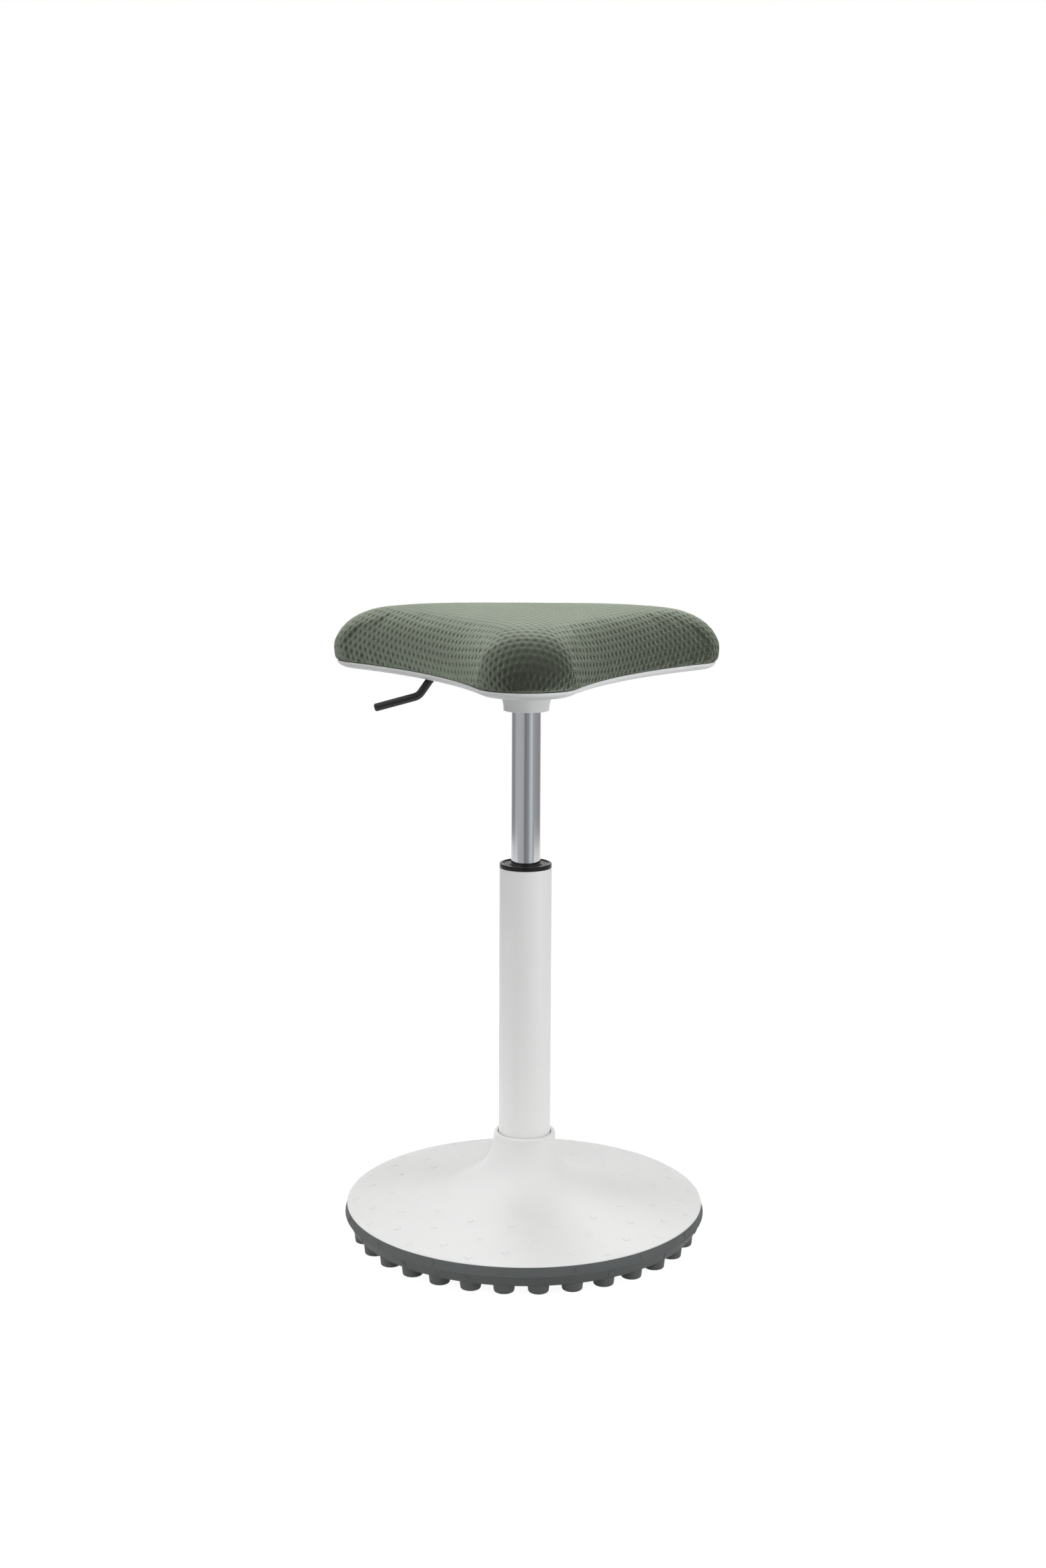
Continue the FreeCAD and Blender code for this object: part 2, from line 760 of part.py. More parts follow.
def make_guide_bush():
    """Long guide with an inner and an outer wall, ribs between them and a flange on the column."""
    bore = S.tube_radius + S.running_gap
    outer = S.post_radius - S.post_wall
    cap = S.post_top - S.bush_cap
    top = S.post_top + S.ring_height
    recess = S.post_radius - S.ring_flat_width
    body = turned("guide_bush", [
        (bore, bush_bottom),
        (bore + S.bush_wall, bush_bottom),
        (bore + S.bush_wall, cap),
        (outer - S.bush_wall, cap),
        (outer - S.bush_wall, bush_bottom),
        (outer, bush_bottom),
        (outer, S.post_top),
        (S.post_radius, S.post_top),
        (S.post_radius, top - S.ring_bevel),
        (S.post_radius - S.ring_bevel, top),
        (recess, top),
        (recess, top - S.ring_recess),
        (bore + S.wiper_width + S.wiper_slope / 2, top - S.ring_recess),
        (bore + S.wiper_width, top),
        (bore, top - S.wiper_slope),
    ])

    def draw_rib(sketch):
        inner_edge = bore + S.bush_wall / 2
        outer_edge = outer - S.bush_wall / 2
        draw_outline(sketch, [
            (inner_edge, bush_bottom),
            (outer_edge, bush_bottom),
            (outer_edge, cap + S.overrun),
            (inner_edge, cap + S.overrun),
        ])

    rib = add_pad(body, "rib", draw_rib, "XZ_Plane", None, S.bush_rib, middle=True)
    repeat(body, [rib], S.bush_rib_count)


def make_bearing():
    """Thrust bearing: two races, the rollers that lie between them and their cage."""
    ring("bearing_floor_washer", S.rod_neck_radius + S.washer_play, S.washer_radius,
         post_floor_top, race_top)
    ring("bearing_top_washer", S.rod_neck_radius, S.washer_radius, top_washer_bottom, buffer_bottom)
    middle = race_top + roller_height / 2
    inner = S.roller_start
    outer = S.roller_start + S.roller_length
    rollers = new_body("bearing_rollers")
    roller = add_turned(rollers, "roller", [
        (inner, middle),
        (outer, middle),
        (outer, middle + S.roller_radius),
        (inner, middle + S.roller_radius),
    ], axis="Edge1")
    repeat(rollers, [roller], S.roller_count)
    half = S.cage_thickness / 2
    cage = ring("bearing_cage", inner - S.cage_edge, outer + S.cage_edge, middle - half, middle + half)
    side = S.roller_radius + S.cage_play

    def draw_window(sketch):
        draw_outline(sketch, [
            (inner - S.cage_play, -side),
            (outer + S.cage_play, -side),
            (outer + S.cage_play, side),
            (inner - S.cage_play, side),
        ])

    window = add_pad(cage, "window", draw_window, "XY_Plane", middle - S.cage_thickness,
                     S.cage_thickness * 2, cut=True)
    repeat(cage, [window], S.roller_count)


def make_rod():
    """Piston rod with its neck, clip groove and threaded tip, and what is held on its two ends."""
    washer_bottom = post_floor_bottom - S.rod_washer_thickness
    clip_bottom = washer_bottom - S.clip_thickness
    tip = piston_top + S.piston_nut_height
    turned("piston_rod", [
        (ZERO, clip_bottom - S.rod_tail),
        (S.rod_neck_radius, clip_bottom - S.rod_tail),
        (S.rod_neck_radius, clip_bottom),
        (S.rod_groove_radius, clip_bottom),
        (S.rod_groove_radius, washer_bottom),
        (S.rod_neck_radius, washer_bottom),
        (S.rod_neck_radius, buffer_bottom),
        (S.rod_radius, buffer_bottom),
        (S.rod_radius, S.piston_bottom),
        (S.rod_tip_radius, S.piston_bottom),
        (S.rod_tip_radius, tip),
        (ZERO, tip),
    ])
    ring("rod_washer", S.rod_neck_radius, S.rod_washer_radius, washer_bottom, post_floor_bottom)
    ring("rod_clip", S.rod_groove_radius, S.clip_radius, clip_bottom, washer_bottom)
    ring("rubber_buffer", S.rod_radius + S.buffer_play, S.buffer_radius, buffer_bottom,
         buffer_bottom + S.buffer_height)


def make_piston():
    """Piston with its seal and the nut that holds it."""
    outer = inner_bore - S.piston_gap
    groove = outer - S.piston_seal_depth
    seal_from = S.piston_bottom + S.piston_height / 2 - S.piston_seal_height / 2
    seal_to = seal_from + S.piston_seal_height
    turned("piston", [
        (S.rod_tip_radius, S.piston_bottom),
        (outer, S.piston_bottom),
        (outer, seal_from),
        (groove, seal_from),
        (groove, seal_to),
        (outer, seal_to),
        (outer, piston_top),
        (S.rod_tip_radius, piston_top),
    ])
    ring("piston_seal", groove, inner_bore - S.piston_gap, seal_from, seal_to)
    nut = new_body("piston_nut")

    def draw_hexagon(sketch):
        corner = S.piston_nut_flats / math.sqrt(3.0)
        half_flats = S.piston_nut_flats / 2
        draw_outline(sketch, [
            (corner, ZERO),
            (corner / 2, half_flats),
            (-corner / 2, half_flats),
            (-corner, ZERO),
            (-corner / 2, -half_flats),
            (corner / 2, -half_flats),
        ])
        draw_circle(sketch, ZERO, ZERO, S.rod_tip_radius)

    add_pad(nut, "hexagon", draw_hexagon, "XY_Plane", piston_top, S.piston_nut_height)


def make_cylinder():
    """Pressure tube, inner tube and what closes their lower end."""
    turned("pressure_tube", [
        (S.tube_radius - S.tube_lip, tube_bottom),
        (S.tube_radius, tube_bottom),
        (S.tube_radius, socket_bottom),
        (S.tube_radius - S.tube_taper, S.tube_top),
        (S.tube_top_hole, S.tube_top),
        (S.tube_top_hole, S.tube_top - S.tube_wall),
        (tube_bore - S.tube_taper, S.tube_top - S.tube_wall),
        (tube_bore, socket_bottom),
        (tube_bore, tube_bottom + S.tube_wall),
        (S.tube_radius - S.tube_lip, tube_bottom + S.tube_wall),
    ])
    ring("inner_tube", inner_bore, inner_tube_radius, guide_shelf, valve_shelf)
    rod_bore = S.rod_radius + S.rod_seal_gap
    ring("seal_washer", rod_bore + S.rod_seal_gap, tube_bore, tube_bottom + S.tube_wall, seal_bottom)
    ring("rod_seal", rod_bore, tube_bore, seal_bottom, guide_bottom)
    turned("rod_guide", [
        (rod_bore, guide_bottom),
        (tube_bore, guide_bottom),
        (tube_bore, guide_shelf),
        (inner_bore, guide_shelf),
        (inner_bore, guide_shelf + S.rod_guide_nose),
        (rod_bore, guide_shelf + S.rod_guide_nose),
    ])


def make_valve():
    """Valve body in the tube's top, its seals and the release pin."""
    bore = S.valve_pin_radius + S.running_gap
    groove = S.valve_pin_radius + S.valve_seal_gap + S.valve_seal_width
    top = S.tube_top - S.tube_wall
    floors = [valve_shelf + S.valve_seal_pitch * share for share in (0.5, 1.5)]
    points = [
        (bore, valve_bottom),
        (inner_bore, valve_bottom),
        (inner_bore, valve_shelf),
        (tube_bore, valve_shelf),
        (tube_bore, socket_bottom),
        (tube_bore - S.tube_taper, top),
        (bore, top),
    ]
    for floor in reversed(floors):
        points += [
            (bore, floor + S.valve_seal_height),
            (groove, floor + S.valve_seal_height),
            (groove, floor),
            (bore, floor),
        ]
    turned("valve_body", points)
    seals = new_body("valve_seals")
    inner = S.valve_pin_radius + S.valve_seal_gap
    for number, floor in enumerate(floors):
        add_turned(seals, f"seal_{number}", [
            (inner, floor),
            (groove, floor),
            (groove, floor + S.valve_seal_height),
            (inner, floor + S.valve_seal_height),
        ])
    tip = S.tube_top + S.valve_pin_rise
    dome = (S.valve_pin_radius * S.valve_pin_radius + S.valve_pin_dome * S.valve_pin_dome) \
        / (S.valve_pin_dome * 2)
    turned("valve_pin", [
        (ZERO, valve_pin_bottom),
        (S.valve_pin_radius / 2, valve_pin_bottom),
        (S.valve_pin_radius, valve_pin_bottom + S.valve_pin_point),
        (S.valve_pin_radius, tip - S.valve_pin_dome),
        (ZERO, tip),
    ], arcs={3: (dome, -1)})


# Seat mechanism
def make_socket():
    """Socket with the tapered bore, the rocker's chamber and ears, and the flange under the pan."""
    floor = S.tube_top + S.socket_floor_lift
    bearing = S.lever_bearing.value
    slot = S.rocker_width / 2 + S.rocker_side_gap
    body = turned("tube_socket", [
        (S.tube_radius, socket_bottom),
        (socket_radius, socket_bottom),
        (socket_radius, flange_bottom - S.flange_slope_height),
        (socket_radius + S.flange_slope, flange_bottom),
        (flange_radius, flange_bottom),
        (flange_radius, flange_top),
        (ZERO, flange_top),
        (ZERO, flange_bottom),
        (socket_chamber_radius, flange_bottom),
        (socket_chamber_radius, floor),
        (S.tube_radius - S.tube_taper, floor),
        (S.tube_radius - S.tube_taper, S.tube_top),
    ])
    ear_height = flange_bottom + S.overrun - ear_bottom
    for name, near, far in (("left_ear", slot, slot + S.ear_thickness),
                            ("right_ear", -slot - S.ear_thickness, -slot)):
        def draw_ear(sketch, near=near, far=far):
            draw_outline(sketch, [
                (S.ear_start, near),
                (S.ear_end, near),
                (S.ear_end, far),
                (S.ear_start, far),
            ])

        add_pad(body, name, draw_ear, "XY_Plane", ear_bottom, ear_height, turn=bearing)

    def draw_slot(sketch):
        draw_outline(sketch, [
            (ZERO, -slot),
            (S.ear_end + S.overrun, -slot),
            (S.ear_end + S.overrun, slot),
            (ZERO, slot),
        ])

    add_pad(body, "rocker_slot", draw_slot, "XY_Plane", floor, flange_bottom - floor, turn=bearing,
            cut=True)
    add_pad(body, "pivot_hole",
            lambda sketch: draw_circle(sketch, S.pivot_distance, lever_height, S.pivot_radius),
            "XZ_Plane", None, S.ear_end * 2, turn=bearing, cut=True, middle=True)
    cut_round_holes(body, "screw_hole", S.socket_screw_ring, S.socket_screw_radius,
                    flange_bottom - S.overrun, S.flange_thickness + S.overrun * 2,
                    S.socket_screw_count, SOCKET_SCREW_PHASE)


def make_socket_fasteners():
    """Screws that hold the socket under the pan, and the nuts sunk in the pan's top."""
    screw_ring("socket_screws", S.socket_screw_ring, flange_bottom - S.socket_screw_head_height,
               (S.socket_screw_head_radius, S.socket_screw_head_height), S.socket_screw_radius,
               S.flange_thickness + S.pan_thickness, S.socket_screw_count, SOCKET_SCREW_PHASE)
    x = S.socket_screw_ring
    nuts = new_body("tee_nuts")
    nut = add_turned(nuts, "nut", [
        (x + S.socket_screw_radius, flange_top),
        (x + S.tee_nut_barrel, flange_top),
        (x + S.tee_nut_barrel, pan_top - S.tee_nut_flange),
        (x + S.tee_nut_radius, pan_top - S.tee_nut_flange),
        (x + S.tee_nut_radius, pan_top),
        (x + S.socket_screw_radius, pan_top),
    ], turn=SOCKET_SCREW_PHASE, axis=x)
    repeat(nuts, [nut], S.socket_screw_count)


def make_lever():
    """Bent release rod, swept along its centre line, with the cross hole for its pivot."""
    bearing = S.lever_bearing.value
    body = new_body("release_lever")
    spine = new_sketch(body, "centre_line", "XZ_Plane", turn=bearing)
    points = [
        (S.lever_start, lever_height),
        (lever_knee, lever_height),
        (lever_elbow, lever_elbow_height),
        (lever_end, lever_end_height),
    ]
    bends = {1: S.lever_knee_bend, 2: S.lever_elbow_bend}
    route, arcs = rounded_route(points, bends)
    draw_outline(spine, route, arcs, closed=False)
    section = new_sketch(body, "section", "YZ_Plane", lift=S.lever_start)
    section.AttachmentOffset = Placement(Vector(0, 0, 0), Rotation())
    section.AttachmentSupport = [(spine, "Edge1")]
    section.MapMode = "NormalToEdge"
    section.setExpression("AttachmentOffset.Base.z", "0")
    draw_circle(section, ZERO, ZERO, S.lever_radius)
    pipe = body.newObject("PartDesign::AdditivePipe", "release_lever_pipe")
    pipe.Profile = section
    pipe.Spine = (spine, [f"Edge{number + 1}" for number in range(len(route) - 1)])
    body.Tip = pipe
    add_pad(body, "pivot_hole",
            lambda sketch: draw_circle(sketch, S.pivot_distance, lever_height,
                                       S.pivot_radius + S.running_gap),
            "XZ_Plane", None, S.lever_radius * 4, turn=bearing, cut=True, middle=True)


def rounded_route(points, bends):
    """Cut each bend's corner back to its tangent points and return the route and its arcs."""
    route = [points[0]]
    arcs = {}
    for number in range(1, len(points) - 1):
        before, corner, after = points[number - 1:number + 2]
        incoming = (corner[0] - before[0], corner[1] - before[1])
        outgoing = (after[0] - corner[0], after[1] - corner[1])
        reach_in = (incoming[0] * incoming[0] + incoming[1] * incoming[1])
        reach_out = (outgoing[0] * outgoing[0] + outgoing[1] * outgoing[1])
        reach_in = Size(math.sqrt(reach_in.value), f"sqrt({reach_in.text})")
        reach_out = Size(math.sqrt(reach_out.value), f"sqrt({reach_out.text})")
        cross = (incoming[0] * outgoing[1] - incoming[1] * outgoing[0]) / (reach_in * reach_out)
        dot = (incoming[0] * outgoing[0] + incoming[1] * outgoing[1]) / (reach_in * reach_out)
        side = -1 if cross.value > 0 else 1
        size = cross if cross.value > 0 else -cross
        back = bends[number] * size / (dot + 1.0)
        arcs[len(route)] = (bends[number], side)
        route.append((corner[0] - incoming[0] * back / reach_in,
                      corner[1] - incoming[1] * back / reach_in))
        route.append((corner[0] + outgoing[0] * back / reach_out,
                      corner[1] + outgoing[1] * back / reach_out))
    route.append(points[-1])
    return route, arcs


def make_rocker():
    """Block on the lever's inner end, whose nose lies over the valve pin."""
    bearing = S.lever_bearing.value
    nose_bottom = S.tube_top + S.valve_pin_rise + S.rocker_nose_gap
    bevel = S.rocker_chamfer
    body = new_body("rocker")

    def draw_block(sketch):
        nose_end = S.rocker_nose_length - S.rocker_nose
        draw_outline(sketch, [
            (-S.rocker_nose, nose_bottom),
            (nose_end, nose_bottom),
            (nose_end + bevel, rocker_bottom),
            (S.rocker_tail - bevel, rocker_bottom),
            (S.rocker_tail, rocker_bottom + bevel),
            (S.rocker_tail, rocker_top - bevel),
            (S.rocker_tail - bevel, rocker_top),
            (bevel - S.rocker_nose, rocker_top),
            (-S.rocker_nose, rocker_top - bevel),
        ])

    add_pad(body, "block", draw_block, "XZ_Plane", None, S.rocker_width, turn=bearing, middle=True)
    add_pad(body, "pivot_hole",
            lambda sketch: draw_circle(sketch, S.pivot_distance, lever_height,
                                       S.pivot_radius + S.running_gap),
            "XZ_Plane", None, S.rocker_width * 2, turn=bearing, cut=True, middle=True)

    def draw_bore(sketch):
        draw_outline(sketch, [
            (S.lever_start, lever_height),
            (S.rocker_tail + S.overrun, lever_height),
            (S.rocker_tail + S.overrun, lever_height + S.lever_radius),
            (S.lever_start, lever_height + S.lever_radius),
        ])

    sketch = new_sketch(body, "bore_outline", "XZ_Plane", turn=bearing)
    draw_bore(sketch)
    bore = body.newObject("PartDesign::Groove", "rocker_bore")
    bore.Profile = sketch
    bore.ReferenceAxis = (sketch, ["Edge1"])
    bore.Angle = 360
    body.Tip = bore


def make_pivot():
    """Pivot pin through the ears, and a clip in the groove at each of its ends."""
    half_ears = S.rocker_width / 2 + S.rocker_side_gap + S.ear_thickness
    clip_end = half_ears + S.pivot_clip_thickness
    end = half_ears + S.pivot_tail
    groove = S.pivot_radius - S.pivot_groove_depth
    pin = turned("pivot_pin", [
        (ZERO, -end),
        (S.pivot_radius, -end),
        (S.pivot_radius, -clip_end),
        (groove, -clip_end),
        (groove, -half_ears),
        (S.pivot_radius, -half_ears),
        (S.pivot_radius, half_ears),
        (groove, half_ears),
        (groove, clip_end),
        (S.pivot_radius, clip_end),
        (S.pivot_radius, end),
        (ZERO, end),
    ])
    clips = new_body("pivot_clips")
    for name, bottom, top in (("near", -clip_end, -half_ears), ("far", half_ears, clip_end)):
        add_turned(clips, name, [
            (groove, bottom),
            (S.pivot_clip_radius, bottom),
            (S.pivot_clip_radius, top),
            (groove, top),
        ])
    bearing = math.radians(S.lever_bearing.value)
    outward = Vector(math.cos(bearing), math.sin(bearing), 0)
    across = Vector(-math.sin(bearing), math.cos(bearing), 0)
    place = outward * S.pivot_distance.value + Vector(0, 0, lever_height.value)
    for body in (pin, clips):
        body.Placement = Placement(place, Rotation(Vector(0, 0, 1), across))


# Seat
def lobed_wire(tip, flank, lobe, height):
    """Three round lobes joined by hollow flanks, as six tangent arcs at one height."""
    centre = tip - lobe
    hollow = (centre ** 2 + flank ** 2 - centre * flank - lobe ** 2) / (centre + 2 * lobe - 2 * flank)

    def polar(radius, angle):
        return Vector(radius * math.cos(angle), radius * math.sin(angle), height)

    edges = []
    half_step = math.radians(LOBE_STEP / 2)
    for number in range(3):
        angle = math.radians(FRONT_LOBE + LOBE_STEP * number)
        middle = polar(centre, angle)
        following = polar(centre, angle + 2 * half_step)
        before = polar(flank + hollow, angle - half_step)
        after = polar(flank + hollow, angle + half_step)
        first = middle + (before - middle).normalize() * lobe
        second = middle + (after - middle).normalize() * lobe
        third = following + (after - following).normalize() * lobe
        edges.append(Part.Arc(first, polar(tip, angle), second).toShape())
        edges.append(Part.Arc(second, polar(flank, angle + half_step), third).toShape())
    return Part.Wire(edges)


def lobed_prism(inset, bottom, top):
    """Straight-sided block of the seat's outline, drawn in by inset."""
    wire = lobed_wire(S.seat_tip.value - inset, seat_flank.value - inset, S.seat_lobe.value - inset,
                      bottom)
    return Part.Face(wire).extrude(Vector(0, 0, top - bottom))


def revolved(points):
    """Solid turned about the column's axis from points of (radius, height) or arcs through three."""
    edges = []
    place = Vector(points[0][0], 0, points[0][1])
    for point in points[1:] + points[:1]:
        target = Vector(point[0], 0, point[1])
        if len(point) == 4:
            through = Vector(point[2], 0, point[3])
            edges.append(Part.Arc(place, through, target).toShape())
        else:
            edges.append(Part.makeLine(place, target))
        place = target
    face = Part.Face(Part.Wire(edges))
    return face.revolve(Vector(0, 0, 0), Vector(0, 0, 1), 360)


def arc_middle(start, finish, radius, side, wall=0.0):
    """Middle point of an arc between two points of (radius, height), or a wall's width beyond it."""
    dx, dz = finish[0] - start[0], finish[1] - start[1]
    chord = math.hypot(dx, dz)
    bulge = radius - math.sqrt(radius ** 2 - chord ** 2 / 4) + wall
    return ((start[0] + finish[0]) / 2 - side * dz / chord * bulge,
            (start[1] + finish[1]) / 2 + side * dx / chord * bulge)


def neck_points(wall):
    """Foot, waist and throat of the neck's outer face, or of its inner face at this wall."""
    slant = wall * math.sqrt(0.5)
    foot = (neck_foot_radius.value, shell_bottom.value + wall)
    waist = (neck_waist_radius.value - slant, neck_waist_height.value + slant)
    throat = (neck_radius.value - wall, neck_bottom.value + S.neck_straight.value)
    return foot, waist, throat


def neck_outside():
    """The neck's trumpet as a full solid."""
    foot, waist, throat = neck_points(0.0)
    waist_bulge = arc_middle(throat, waist, S.neck_upper_bend.value, 1)
    foot_bulge = arc_middle(waist, foot, S.neck_lower_bend.value, 1)
    bottom = neck_bottom.value
    top = shell_bottom.value + S.overrun.value
    return revolved([
        (0, bottom),
        (throat[0] - S.neck_round.value, bottom),
        (throat[0], bottom + S.neck_round.value),
        throat,
        (*waist, *waist_bulge),
        (*foot, *foot_bulge),
        (foot[0], top),
        (0, top),
    ])


def neck_inside():
    """The hollow of the neck, in straight stretches."""
    wall = S.shell_wall.value
    foot, waist, throat = neck_points(0.0)
    throat_bulge = arc_middle(throat, waist, S.neck_upper_bend.value, 1, wall)
    foot_bulge = arc_middle(waist, foot, S.neck_lower_bend.value, 1, wall)
    foot, waist, throat = neck_points(wall)
    bottom = neck_bottom.value - S.overrun.value
    top = foot[1] + S.overrun.value
    return revolved([(0, bottom), (throat[0], bottom), throat, throat_bulge, waist, foot_bulge, foot,
                     (foot[0], top), (0, top)])


def lobe_places(radius):
    """Points on the three lobes' middle lines at a radius."""
    angles = [math.radians(FRONT_LOBE + LOBE_STEP * number) for number in range(3)]
    return [Vector(radius * math.cos(angle), radius * math.sin(angle), 0) for angle in angles]


def make_seat_shell():
    """White under-shell: shallow lobed dish, neck, slot for the lever and bosses for its screws."""
    tip, flank, lobe = S.seat_tip.value, seat_flank.value, S.seat_lobe.value
    depth, edge, wall = S.shell_depth.value, S.shell_edge.value, S.shell_wall.value
    line, over = seat_line.value, S.overrun.value
    bottom = shell_bottom.value
    outer = []
    inner = []
    for height_share, reach_share in SHELL_SECTION_SHARES:
        inset = edge * reach_share
        outer.append(lobed_wire(tip - inset, flank - inset, lobe - inset, bottom + depth * height_share))
        inset = wall + (edge - wall) * reach_share
        height = bottom + wall + (depth - wall) * height_share
        inner.append(lobed_wire(tip - inset, flank - inset, lobe - inset, height))
    dish = Part.makeLoft(outer, True, True)
    hollow = Part.makeLoft(inner, True, True)
    mouth = lobed_prism(wall, line, line + over)
    shell = dish.cut(hollow).cut(mouth)
    shell = shell.fuse(neck_outside()).cut(neck_inside())
    for place in lobe_places(shell_screw_ring.value):
        boss_bottom = place + Vector(0, 0, bottom + wall / 2)
        boss_height = wall / 2 + S.shell_boss_height.value
        boss = Part.makeCylinder(S.shell_boss_radius.value, boss_height, boss_bottom)
        bore = Part.makeCylinder(S.shell_screw_radius.value, depth * 2, place + Vector(0, 0, bottom - over))
        sink = Part.makeCylinder(S.shell_screw_head_radius.value, S.shell_counterbore.value + over,
                                 place + Vector(0, 0, bottom - over))
        shell = shell.fuse(boss).cut(bore).cut(sink)
    shell = shell.cut(lever_slot(bottom - over, wall + 2 * over))
    add_part_feature("seat_shell", shell.removeSplitter())


def lever_slot(bottom, height):
    """Round-ended slot that the lever's leg comes down through."""
    half = S.lever_slot_width.value / 2
    start = lever_slot_start.value + half
    end = lever_slot_end.value - half
    block = Part.makeBox(end - start, 2 * half, height, Vector(start, -half, bottom))
    rounds = [Part.makeCylinder(half, height, Vector(x, 0, bottom)) for x in (start, end)]
    slot = block.fuse(rounds)
    slot.rotate(Vector(0, 0, 0), Vector(0, 0, 1), S.lever_bearing.value)
    return slot


def make_shell_screws():
    """Three screws up through the shell's bosses into the pan."""
    seat = shell_bottom.value + S.shell_counterbore.value
    screws = []
    for place in lobe_places(shell_screw_ring.value):
        head = Part.makeCylinder(S.shell_screw_head_radius.value, S.shell_screw_head_height.value,
                                 place + Vector(0, 0, seat - S.shell_screw_head_height.value))
        shank = Part.makeCylinder(S.shell_screw_radius.value, S.shell_screw_length.value,
                                  place + Vector(0, 0, seat))
        screws.append(head.fuse(shank).removeSplitter())
    add_part_feature("shell_screws", Part.makeCompound(screws))


def make_pan():
    """Moulded pan: plate, skirt that stands on the shell's floor and bosses for the shell's screws."""
    inset, wall = S.pan_inset.value, S.pan_wall.value
    floor, top = shell_floor.value, pan_top.value
    under = flange_top.value
    over = S.overrun.value
    pan = lobed_prism(inset, floor, top)
    pan = pan.cut(lobed_prism(inset + wall, floor - over, under))
    boss_bottom = floor + S.shell_boss_height.value
    screw_top = shell_bottom.value + S.shell_counterbore.value + S.shell_screw_length.value
    for place in lobe_places(shell_screw_ring.value):
        boss = Part.makeCylinder(S.shell_boss_radius.value, under - boss_bottom + over,
                                 place + Vector(0, 0, boss_bottom))
        bore = Part.makeCylinder(S.shell_screw_radius.value, screw_top - boss_bottom + over,
                                 place + Vector(0, 0, boss_bottom - over))
        pan = pan.fuse(boss).cut(bore)
    pan = pan.cut(lever_slot(floor - over, S.lever_notch.value + over))
    count = int(S.socket_screw_count.value)
    for number in range(count):
        angle = math.radians(SOCKET_SCREW_PHASE + 360 / count * number)
        place = Vector(math.cos(angle), math.sin(angle), 0) * S.socket_screw_ring.value
        barrel = Part.makeCylinder(S.tee_nut_barrel.value, S.pan_thickness.value + 2 * over,
                                   place + Vector(0, 0, under - over))
        sink = Part.makeCylinder(S.tee_nut_radius.value, S.tee_nut_flange.value + over,
                                 place + Vector(0, 0, top - S.tee_nut_flange.value))
        pan = pan.cut(barrel).cut(sink)
    add_part_feature("seat_pan", pan.removeSplitter())


def cushion_solid(inset, sections):
    """Crowned cushion with drawn-in lower sides, or the same form inside a cloth of this inset."""
    bottom = seat_line.value + inset
    height = S.cushion_height.value - 2 * inset
    wires = []
    for height_share, tip_share, flank_share, lobe_share in sections:
        wires.append(lobed_wire(
            S.seat_tip.value * tip_share - inset,
            seat_flank.value * flank_share - inset,
            S.seat_lobe.value * lobe_share - inset,
            bottom + height * height_share))
    return Part.makeLoft(wires, True, True)


def make_cushion():
    """Foam over the pan, and the knitted cover whose hem turns in under it to the pan's skirt."""
    cloth = S.cover_cloth.value
    foam_form = cushion_solid(cloth, LINING_SECTION_SHARES)
    pan_block = lobed_prism(S.pan_inset.value, shell_floor.value, pan_top.value)
    add_part_feature("seat_foam", foam_form.cut(pan_block))
    add_part_feature("seat_cover", cushion_solid(0.0, CUSHION_SECTION_SHARES).cut(foam_form).cut(pan_block))


make_sole()
make_base_weight()
make_base_cover()
make_base_screws()
make_standpipe()
make_guide_bush()
make_bearing()
make_rod()
make_piston()
make_cylinder()
make_valve()
make_socket()
make_socket_fasteners()
make_lever()
make_rocker()
make_pivot()
make_seat_shell()
make_shell_screws()
make_pan()
make_cushion()
doc.recompute()

faults = []
for item in doc.Objects:
    if "Invalid" in item.State or "Error" in item.State:
        faults.append(f"{item.Label}: {item.State}")
for item in parts:
    if item.Shape.isNull() or not item.Shape.isValid() or not item.Shape.Solids:
        faults.append(f"{item.Label}: no valid solid")
if faults:
    raise RuntimeError("; ".join(faults))

os.makedirs("parts", exist_ok=True)
for item in parts:
    item.Shape.exportStep(f"parts/{item.Label}.step")
    print(f"{item.Label}: {len(item.Shape.Solids)} solids, {item.Shape.Volume:.0f} mm3")
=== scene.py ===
"""Office stool: the looks.

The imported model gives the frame. Each visible sub-assembly is a class here, which holds its sizes,
builds its meshes and dresses them. Sizes are in millimetres and become metres when a mesh is made.
"""

import json
import logging
import math
from dataclasses import dataclass, field
from enum import Enum
from functools import cache
from typing import Optional, Sequence

import bmesh
import bpy
import numpy as np
from mathutils import Matrix, Vector
from mathutils.geometry import delaunay_2d_cdt
from mathutils.kdtree import KDTree

